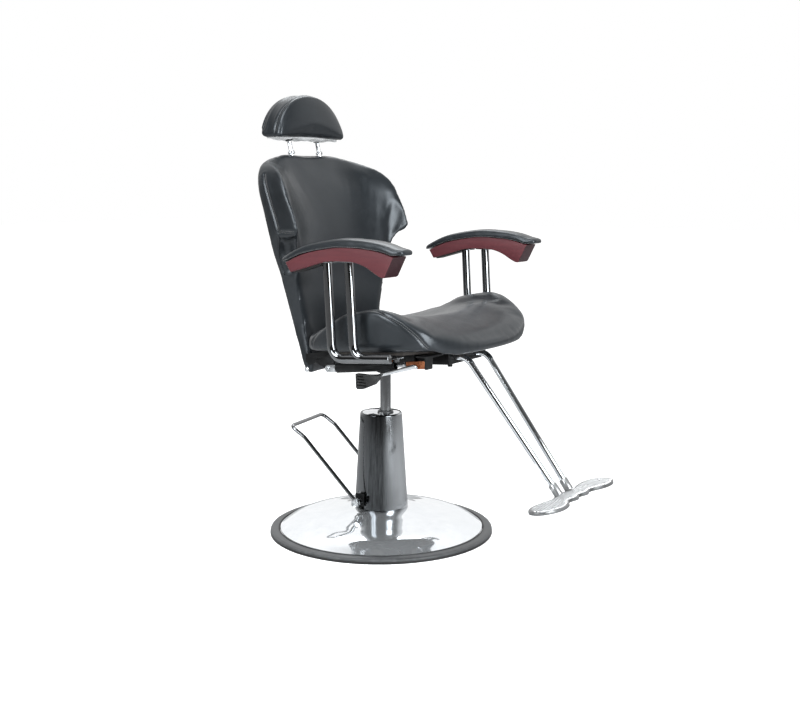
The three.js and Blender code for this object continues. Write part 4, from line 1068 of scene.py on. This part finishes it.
def build_cover_screws():
    """Washered screws that hold the foot of the cover, one at each lower corner."""
    for side, name in SIDES:
        x, y, z = side * 172.0, 108.0, 443.0
        path = [(x, y, z), (x + side * 2.2, y, z), (x + side * 2.8, y, z), (x + side * 4.6, y, z), (x + side * 5.6, y, z)]
        form = sweep_line(path, [circle(r, 24) for r in (6.4, 6.4, 4.8, 4.2, 2.2)], up=(0, 1, 0))
        piece(f"cover_bolt_{name}", *form, "zinc", "backrest", (f"cover_screw_{name}",))


# ---------------------------------------------------------------- headrest
HEADREST_LOW = box_mm("headrest_pad")[0][2]
HEADREST_HALF = box_mm("headrest_pad")[1][0]


def headrest_form(u, v, w):
    dome = np.maximum(0, 1 - np.abs(u) ** 2.1) ** 0.6
    height = 18 + 95 * dome
    thick = 38 * (1 - 0.22 * np.abs(w) ** 6) * (1 - 0.12 * np.abs(u) ** 4)
    x = HEADREST_HALF * u * (1 - 0.03 * w**2)
    lean = 8 * smooth_step(w, 0.0, 1.0)
    arch = 6 * (1 - u**2) * (1 - w) / 2
    return np.stack([x, 246 + v * (thick - lean / 2) + 4 * w, HEADREST_LOW + arch + height * (w + 1) / 2], -1)


def build_headrest():
    """A domed cushion: a front and a rear panel, sewn to a gusset that runs over the top."""
    seams = []
    for v, count in ((-0.86, 46), (0.80, 46)):
        u = np.linspace(-0.93, 0.93, count)
        seams.append(headrest_form(u, np.full(count, v), np.full(count, 0.99)))
        seams[-1] = np.vstack([[seams[-1][0][0], seams[-1][0][1], HEADREST_LOW + 4], seams[-1],
                               [seams[-1][-1][0], seams[-1][-1][1], HEADREST_LOW + 4]])
    pad, sewn = padded("headrest_cushion", "headrest_pad", "headrest", (44, 16, 22, 30), headrest_form,
                       seams, voxel=4.0, rounds=3, cap=5.0, shrink=1.0, groove_depth=1.2)
    stitches("headrest_stitching", pad, sewn, "headrest", offsets=(2.4,))

    points, faces = block_grid(40, 20, 4, 9)
    x, y = points[:, 0] * (HEADREST_HALF - 13), 249 + points[:, 1] * 24
    sag = 2.2 * np.sin(x / 11.0 + y / 9.0) + 1.6 * np.sin(x / 23.0 - y / 7.0)
    z = HEADREST_LOW + 2 + points[:, 2] * 5 + sag * (points[:, 2] < 0)
    piece("headrest_lining", np.stack([x, y, z], -1), faces, "grey_lining", "headrest", sharp=180)


# ---------------------------------------------------------------- armrests
RAIL_WIDTH = 55.0
PAD_WIDTH = 66.0
TUBE_RADIUS = 10.6
RAIL_TOP = [[-268, 746], [-240, 754], [-207, 760], [-170, 763], [-138, 764.5], [-68, 757], [-9, 743.5],
            [35, 725]]
RAIL_BOTTOM = [[-246, 703], [-238, 700], [-223, 706], [-196, 721], [-169, 730], [-138, 732.5], [-73, 729],
               [-38, 719], [21, 703]]
PAD_TIP, PAD_HEEL = -291.0, 52.0


def rail_outline():
    top_y = np.linspace(RAIL_TOP[0][0], RAIL_TOP[-1][0], 40)
    top = [(y, z) for y, z in zip(top_y, curve_through(RAIL_TOP, top_y))]
    low_y = np.linspace(RAIL_BOTTOM[-1][0], -236, 36)
    low = [(y, z) for y, z in zip(low_y, curve_through(RAIL_BOTTOM, low_y))]
    toe = [(-241.5, 699.8), (-246, 703)]
    return np.array(top + low + toe)


def pad_spine(y):
    return curve_through([[PAD_TIP, 743]] + RAIL_TOP + [[PAD_HEEL, 718]], y)


def build_arm(side, name):
    x = side * ARM_X
    rail = slab_form(rail_outline(), x - RAIL_WIDTH / 2, x + RAIL_WIDTH / 2, 0, 1.6, 4)
    piece(f"arm_wood_{name}", *rail, "mahogany", "seat", (f"arm_rail_{name}",), sharp=42)
    y = np.linspace(-62, 17, 24)
    strip = [np.array([x, at, float(curve_through(RAIL_BOTTOM, at)) - 1.2]) for at in y]
    edge = np.array([(-17, -2), (17, -2), (17, 2), (-17, 2)])
    piece(f"arm_strip_{name}", *sweep_line(strip, [edge] * len(y)), "black_plastic", "seat")

    def arm_pad_form(u, v, w):
        y = PAD_TIP + (PAD_HEEL - PAD_TIP) * (v + 1) / 2
        narrow = 1 - 0.16 * np.abs(v) ** 10
        low = pad_spine(y) + 1.6 - 5 * smooth_step(np.abs(u), 0.84, 1.0)
        crown = 18.5 - 4 * u**2 - 2 * np.maximum(v, 0) ** 6
        return np.stack([x + u * narrow * PAD_WIDTH / 2, y, low + crown * (w + 1) / 2], -1)

    pad, _ = padded(f"arm_cushion_{name}", f"arm_pad_{name}", "seat", (16, 64, 8, 9), arm_pad_form, (),
                    voxel=3.2, rounds=3, cap=3.0, shrink=0.8)
    y = np.linspace(PAD_TIP + 14, PAD_HEEL - 12, 70)
    rows = [np.stack([np.full_like(y, x + edge * (PAD_WIDTH / 2 - 1.5)), y, pad_spine(y) + 1.0], -1)
            for edge in (-1, 1)]
    stitches(f"arm_stitching_{name}", pad, rows, "seat", offsets=(0.0,), pitch=4.6, length=3.2)

    run_end = np.array([x, -242, 515.5])
    rear = [np.array([x, -67, 726]), np.array([x, -79, 503]), run_end + [0, 34, -2.5]]
    front = [np.array([x, -128, 729]), np.array([x, -141, 508]), run_end]
    tubes = [tube_form(line, [32], TUBE_RADIUS, plug=1.2, sides=36, spacing=5.0) for line in (rear, front)]
    plates = []
    for top in (rear[0], front[0]):
        outline = rounded_line([(x - 16, top[1]), (x - 16, top[1] - 22), (x + 16, top[1] - 22),
                                (x + 16, top[1] + 22), (x - 16, top[1] + 22), (x - 16, top[1])], 5)[:-1]
        plates.append(slab_form(outline, top[2] + 1, top[2] + 5, 2, 0.6, 2))
    tab = slab_form(rounded_line([(side * 262, -168), (side * 212, -168), (side * 212, -212),
                                  (x, -212), (x, -168), (side * 262, -168)], 4)[:-1], -2.5, 2.5, 2, 0.8, 2)
    turn = np.array(Matrix.Rotation(-SEAT_TILT, 3, "X"))
    tab = ((tab[0] - [0, -190, 0]) @ turn.T + [0, -190, 504], tab[1])
    bolts = []
    for y in (-201, -178):
        bolts.append(sweep_line([(side * 228, y, z) for z in (495, 495.8, 502, 503.5)],
                                [circle(r, 6) for r in (5.8, 6.5, 6.5, 6.5)], up=(1, 0, 0)))
    vertices, faces = merged(*tubes, *plates, tab, *bolts)
    piece(f"arm_tubes_{name}", vertices, faces, "tube_chrome_painted_shade", "seat", (f"arm_frame_{name}",), sharp=35)


# ---------------------------------------------------------------- footrest
FOOT_TOP_X, FOOT_LOW_X = 48.0, 29.0
FOOT_END = (-520.0, 190.0)
FOOT_KNEE = (-285.0, 492.0)
PLATE_CENTRE = np.array([0.0, -547.0, 175.0])
PLATE_TILT = math.radians(-8)
PLATE_HALF = [[0, -22], [26, -31], [60, -24], [98, -42], [142, -45], [176, -29], [191, -3], [177, 23],
              [140, 35], [98, 32], [58, 24], [26, 30], [0, 31]]


def build_footrest():
    for side, name in SIDES:
        corners = [(side * FOOT_TOP_X, -170, 484.6), (side * FOOT_TOP_X, *FOOT_KNEE), (side * FOOT_LOW_X, *FOOT_END)]
        vertices, faces = tube_form(corners, [40], 8.0, sides=32, spacing=5.0)
        piece(f"footrest_bar_{name}", vertices, faces, "chrome", "seat", (f"footrest_tube_{name}",))
    build_footplate()


def footplate_outline():
    half = PLATE_HALF
    mirrored = [[-x, y] for x, y in half[1:-1][::-1]]
    return closed_smooth(half + mirrored, 7)


def inside_outline(points, outline, margin):
    """Which points lie inside a closed outline and at least margin away from it."""
    x, y = points[:, 0], points[:, 1]
    inside = np.zeros(len(points), bool)
    for (x0, y0), (x1, y1) in zip(outline, np.roll(outline, -1, 0)):
        crosses = (y0 > y) != (y1 > y)
        inside ^= crosses & (x < (x1 - x0) * (y - y0) / (y1 - y0 + 1e-12) + x0)
    loop = np.vstack([outline, outline[:1]])
    return inside & (line_distance(points, loop) > margin)


def build_footplate():
    outline = footplate_outline()
    plate = slab_form(outline, -5, 3.4, 2, 1.6, 3)
    forms = [plate]
    pitch = 8.4
    cells = [(i * pitch + (j % 2) * pitch / 2, j * pitch / 2) for i in range(-24, 25) for j in range(-12, 12)]
    cells = np.array(cells)
    for cx, cy in cells[inside_outline(cells, outline, 6.5)]:
        base = np.array([(cx - 3.4, cy), (cx, cy - 3.4), (cx + 3.4, cy), (cx, cy + 3.4)])
        rows = [np.hstack([(base - [cx, cy]) * scale + [cx, cy], np.full((4, 1), z)])
                for scale, z in ((1.0, 3.0), (0.86, 4.6), (0.5, 5.0))]
        faces = [(i * 4 + j, i * 4 + (j + 1) % 4, (i + 1) * 4 + (j + 1) % 4, (i + 1) * 4 + j)
                 for i in range(2) for j in range(4)] + [(0, 1, 2, 3), (8, 9, 10, 11)]
        forms.append((np.concatenate(rows), faces))
    vertices, faces = merged(*forms)
    c, s = math.cos(PLATE_TILT), math.sin(PLATE_TILT)
    y, z = vertices[:, 1].copy(), vertices[:, 2].copy()
    vertices[:, 1], vertices[:, 2] = y * c - z * s, y * s + z * c
    vertices += PLATE_CENTRE
    sockets = []
    for side, _ in SIDES:
        end = np.array([side * FOOT_LOW_X, *FOOT_END])
        axis = end - np.array([side * FOOT_TOP_X, *FOOT_KNEE])
        axis /= np.linalg.norm(axis)
        path = [end + axis * t for t in (-16, -15, 12, 14)]
        sockets.append(ring_form(path, [10.2, 11, 11, 10.5], 8.35))
        bolt = end + axis * -4 + np.array([side * 11.0, 0, 0])
        sockets.append(sweep_line([bolt, bolt + [side * 0.6, 0, 0], bolt + [side * 3.4, 0, 0], bolt + [side * 4, 0, 0]],
                                  [circle(r, 6) for r in (3.9, 4.2, 4.2, 3.8)], up=(0, 0, 1)))
    vertices, faces = merged((vertices, faces), *sockets)
    piece("foot_plate", vertices, faces, "cast_aluminium", "seat", ("footplate",), sharp=40)


# ---------------------------------------------------------------- posts, screws and small parts
POST_LEAN = math.radians(14)


def post_point(side, distance):
    return np.array([side * POST_X, 245.2 + distance * math.sin(POST_LEAN),
                     1007 + distance * math.cos(POST_LEAN)])


def build_posts():
    for side, name in SIDES:
        path = [post_point(side, t) for t in (-120, -119, -60, 0, 51, 52)]
        sizes = (4.6, 5.5, 5.5, 5.5, 5.5, 4.6)
        vertices, faces = sweep_line(path, [circle(r, 32) for r in sizes], up=(1, 0, 0))
        piece(f"headrest_rod_{name}", vertices, faces, "chrome", "headrest", (f"headrest_post_{name}",))


def dress_cad_nodes():
    """CAD nodes that stay: their record finish, softened edges and smooth round faces."""
    for name, obj in frame["nodes"].items():
        if obj.hide_render:
            continue
        obj.data.materials.clear()
        obj.data.materials.append(MATERIAL[SLOTS[name]])
        obj.data.polygons.foreach_set("use_smooth", [True] * len(obj.data.polygons))
        weld = obj.modifiers.new("weld", "WELD")
        weld.merge_threshold = 1e-5
        bevel = obj.modifiers.new("soft_edges", "BEVEL")
        bevel.width = 0.45 * MM
        bevel.segments = 2
        bevel.limit_method = "ANGLE"
        bevel.angle_limit = math.radians(32)
        bevel.harden_normals = True


# ---------------------------------------------------------------- studio
CAMERA_PLACE = Vector((-2.453, -1.685, 0.906))
CAMERA_PITCH = math.radians(8.54)
CAMERA_PAN = math.radians(-0.95)
CAMERA_LENS = 52.16


def build_studio():
    bpy.ops.mesh.primitive_plane_add(size=40, location=(0, 0, -0.0006))
    floor = bpy.context.object
    floor.name = "studio_floor"
    s = Shader("studio_floor")
    paper = s.noise(3.0, detail=2)
    rays = s.add("ShaderNodeLightPath").outputs
    colour = s.blend(rays["Is Glossy Ray"], s.blend(paper, grey(0.86), grey(0.88)), grey(0.45))
    glow = s.maths("MULTIPLY", rays["Is Camera Ray"], 0.60)
    floor.data.materials.append(s.finish(
        Base_Color=colour, Roughness=0.9, Specular_IOR_Level=0.1, Emission_Color=grey(1.0),
        Emission_Strength=glow))

    camera = bpy.data.objects.new("camera", bpy.data.cameras.new("camera"))
    bpy.context.scene.collection.objects.link(camera)
    heading = math.atan2(-CAMERA_PLACE.y, -CAMERA_PLACE.x) + CAMERA_PAN
    forward = Vector((math.cos(heading) * math.cos(CAMERA_PITCH), math.sin(heading) * math.cos(CAMERA_PITCH),
                      -math.sin(CAMERA_PITCH)))
    camera.location = CAMERA_PLACE
    camera.rotation_euler = forward.to_track_quat("-Z", "Y").to_euler()
    camera.data.lens = CAMERA_LENS
    camera.data.sensor_width = 36
    bpy.context.scene.camera = camera

    def softbox(name, azimuth, elevation, distance, width, height, power):
        a, e = math.radians(azimuth), math.radians(elevation)
        place = Vector((math.sin(a) * math.cos(e), -math.cos(a) * math.cos(e), math.sin(e))) * distance
        place.z += 0.5
        data = bpy.data.lights.new(name, "AREA")
        data.shape, data.size, data.size_y, data.energy = "RECTANGLE", width, height, power
        data.color = (0.93, 0.97, 1.0)
        lamp = bpy.data.objects.new(name, data)
        lamp.location = place
        lamp.rotation_euler = (Vector((0, 0, 0.5)) - place).to_track_quat("-Z", "Y").to_euler()
        bpy.context.scene.collection.objects.link(lamp)
        lamp.visible_camera = False

    softbox("front_box", -14, 16, 3.0, 1.5, 2.2, 120)
    softbox("left_box", -98, 26, 3.2, 1.1, 2.2, 85)
    softbox("top_box", -60, 70, 3.0, 1.6, 1.4, 55)
    softbox("back_box", 125, 50, 3.2, 1.6, 1.2, 24)
    build_world()


def build_world():
    """White to the camera and behind the chair; darker on the camera's side, so that chrome has contrast."""
    world = bpy.data.worlds.new("studio")
    bpy.context.scene.world = world
    world.use_nodes = True
    tree = world.node_tree
    tree.nodes.clear()

    def add(kind, **settings):
        node = tree.nodes.new(kind)
        for key, value in settings.items():
            setattr(node, key, value)
        return node

    def link(a, b):
        tree.links.new(a, b)

    direction = add("ShaderNodeTexCoord").outputs["Generated"]
    dot = add("ShaderNodeVectorMath", operation="DOT_PRODUCT")
    link(direction, dot.inputs[0])
    toward = Vector((CAMERA_PLACE.x, CAMERA_PLACE.y, 0)).normalized()
    dot.inputs[1].default_value = toward
    facing = add("ShaderNodeMapRange", interpolation_type="SMOOTHSTEP")
    link(dot.outputs["Value"], facing.inputs["Value"])
    facing.inputs["From Min"].default_value = -0.45
    facing.inputs["From Max"].default_value = 0.15
    facing.inputs["To Min"].default_value = 1.0
    facing.inputs["To Max"].default_value = 0.05
    split = add("ShaderNodeSeparateXYZ")
    link(direction, split.inputs[0])
    height = add("ShaderNodeMapRange", interpolation_type="SMOOTHSTEP")
    link(split.outputs["Z"], height.inputs["Value"])
    height.inputs["From Min"].default_value = 0.35
    height.inputs["From Max"].default_value = 0.95
    height.inputs["To Min"].default_value = 0.0
    height.inputs["To Max"].default_value = 0.10
    level = add("ShaderNodeMath", operation="ADD")
    link(facing.outputs["Result"], level.inputs[0])
    link(height.outputs["Result"], level.inputs[1])
    rays = add("ShaderNodeLightPath")
    studio = add("ShaderNodeMix", data_type="FLOAT")
    link(rays.outputs["Is Diffuse Ray"], studio.inputs[0])
    link(level.outputs[0], studio.inputs[2])
    studio.inputs[3].default_value = 0.55
    seen = add("ShaderNodeMix", data_type="FLOAT")
    link(rays.outputs["Is Camera Ray"], seen.inputs[0])
    link(studio.outputs[0], seen.inputs[2])
    seen.inputs[3].default_value = 1.0
    background = add("ShaderNodeBackground")
    background.inputs["Color"].default_value = (1, 1, 1, 1)
    link(seen.outputs[0], background.inputs["Strength"])
    link(background.outputs[0], add("ShaderNodeOutputWorld").inputs[0])
    bpy.context.scene.view_settings.view_transform = "Standard"


# ---------------------------------------------------------------- the whole chair
build_base()
build_sleeve()
build_cap_bolts()
build_ram()
build_pedal()
build_seat()
build_back()
build_rear_panel()
build_cover_screws()
build_headrest()
for arm_side, arm_name in SIDES:
    build_arm(arm_side, arm_name)
build_footrest()
build_posts()
dress_cad_nodes()
build_studio()
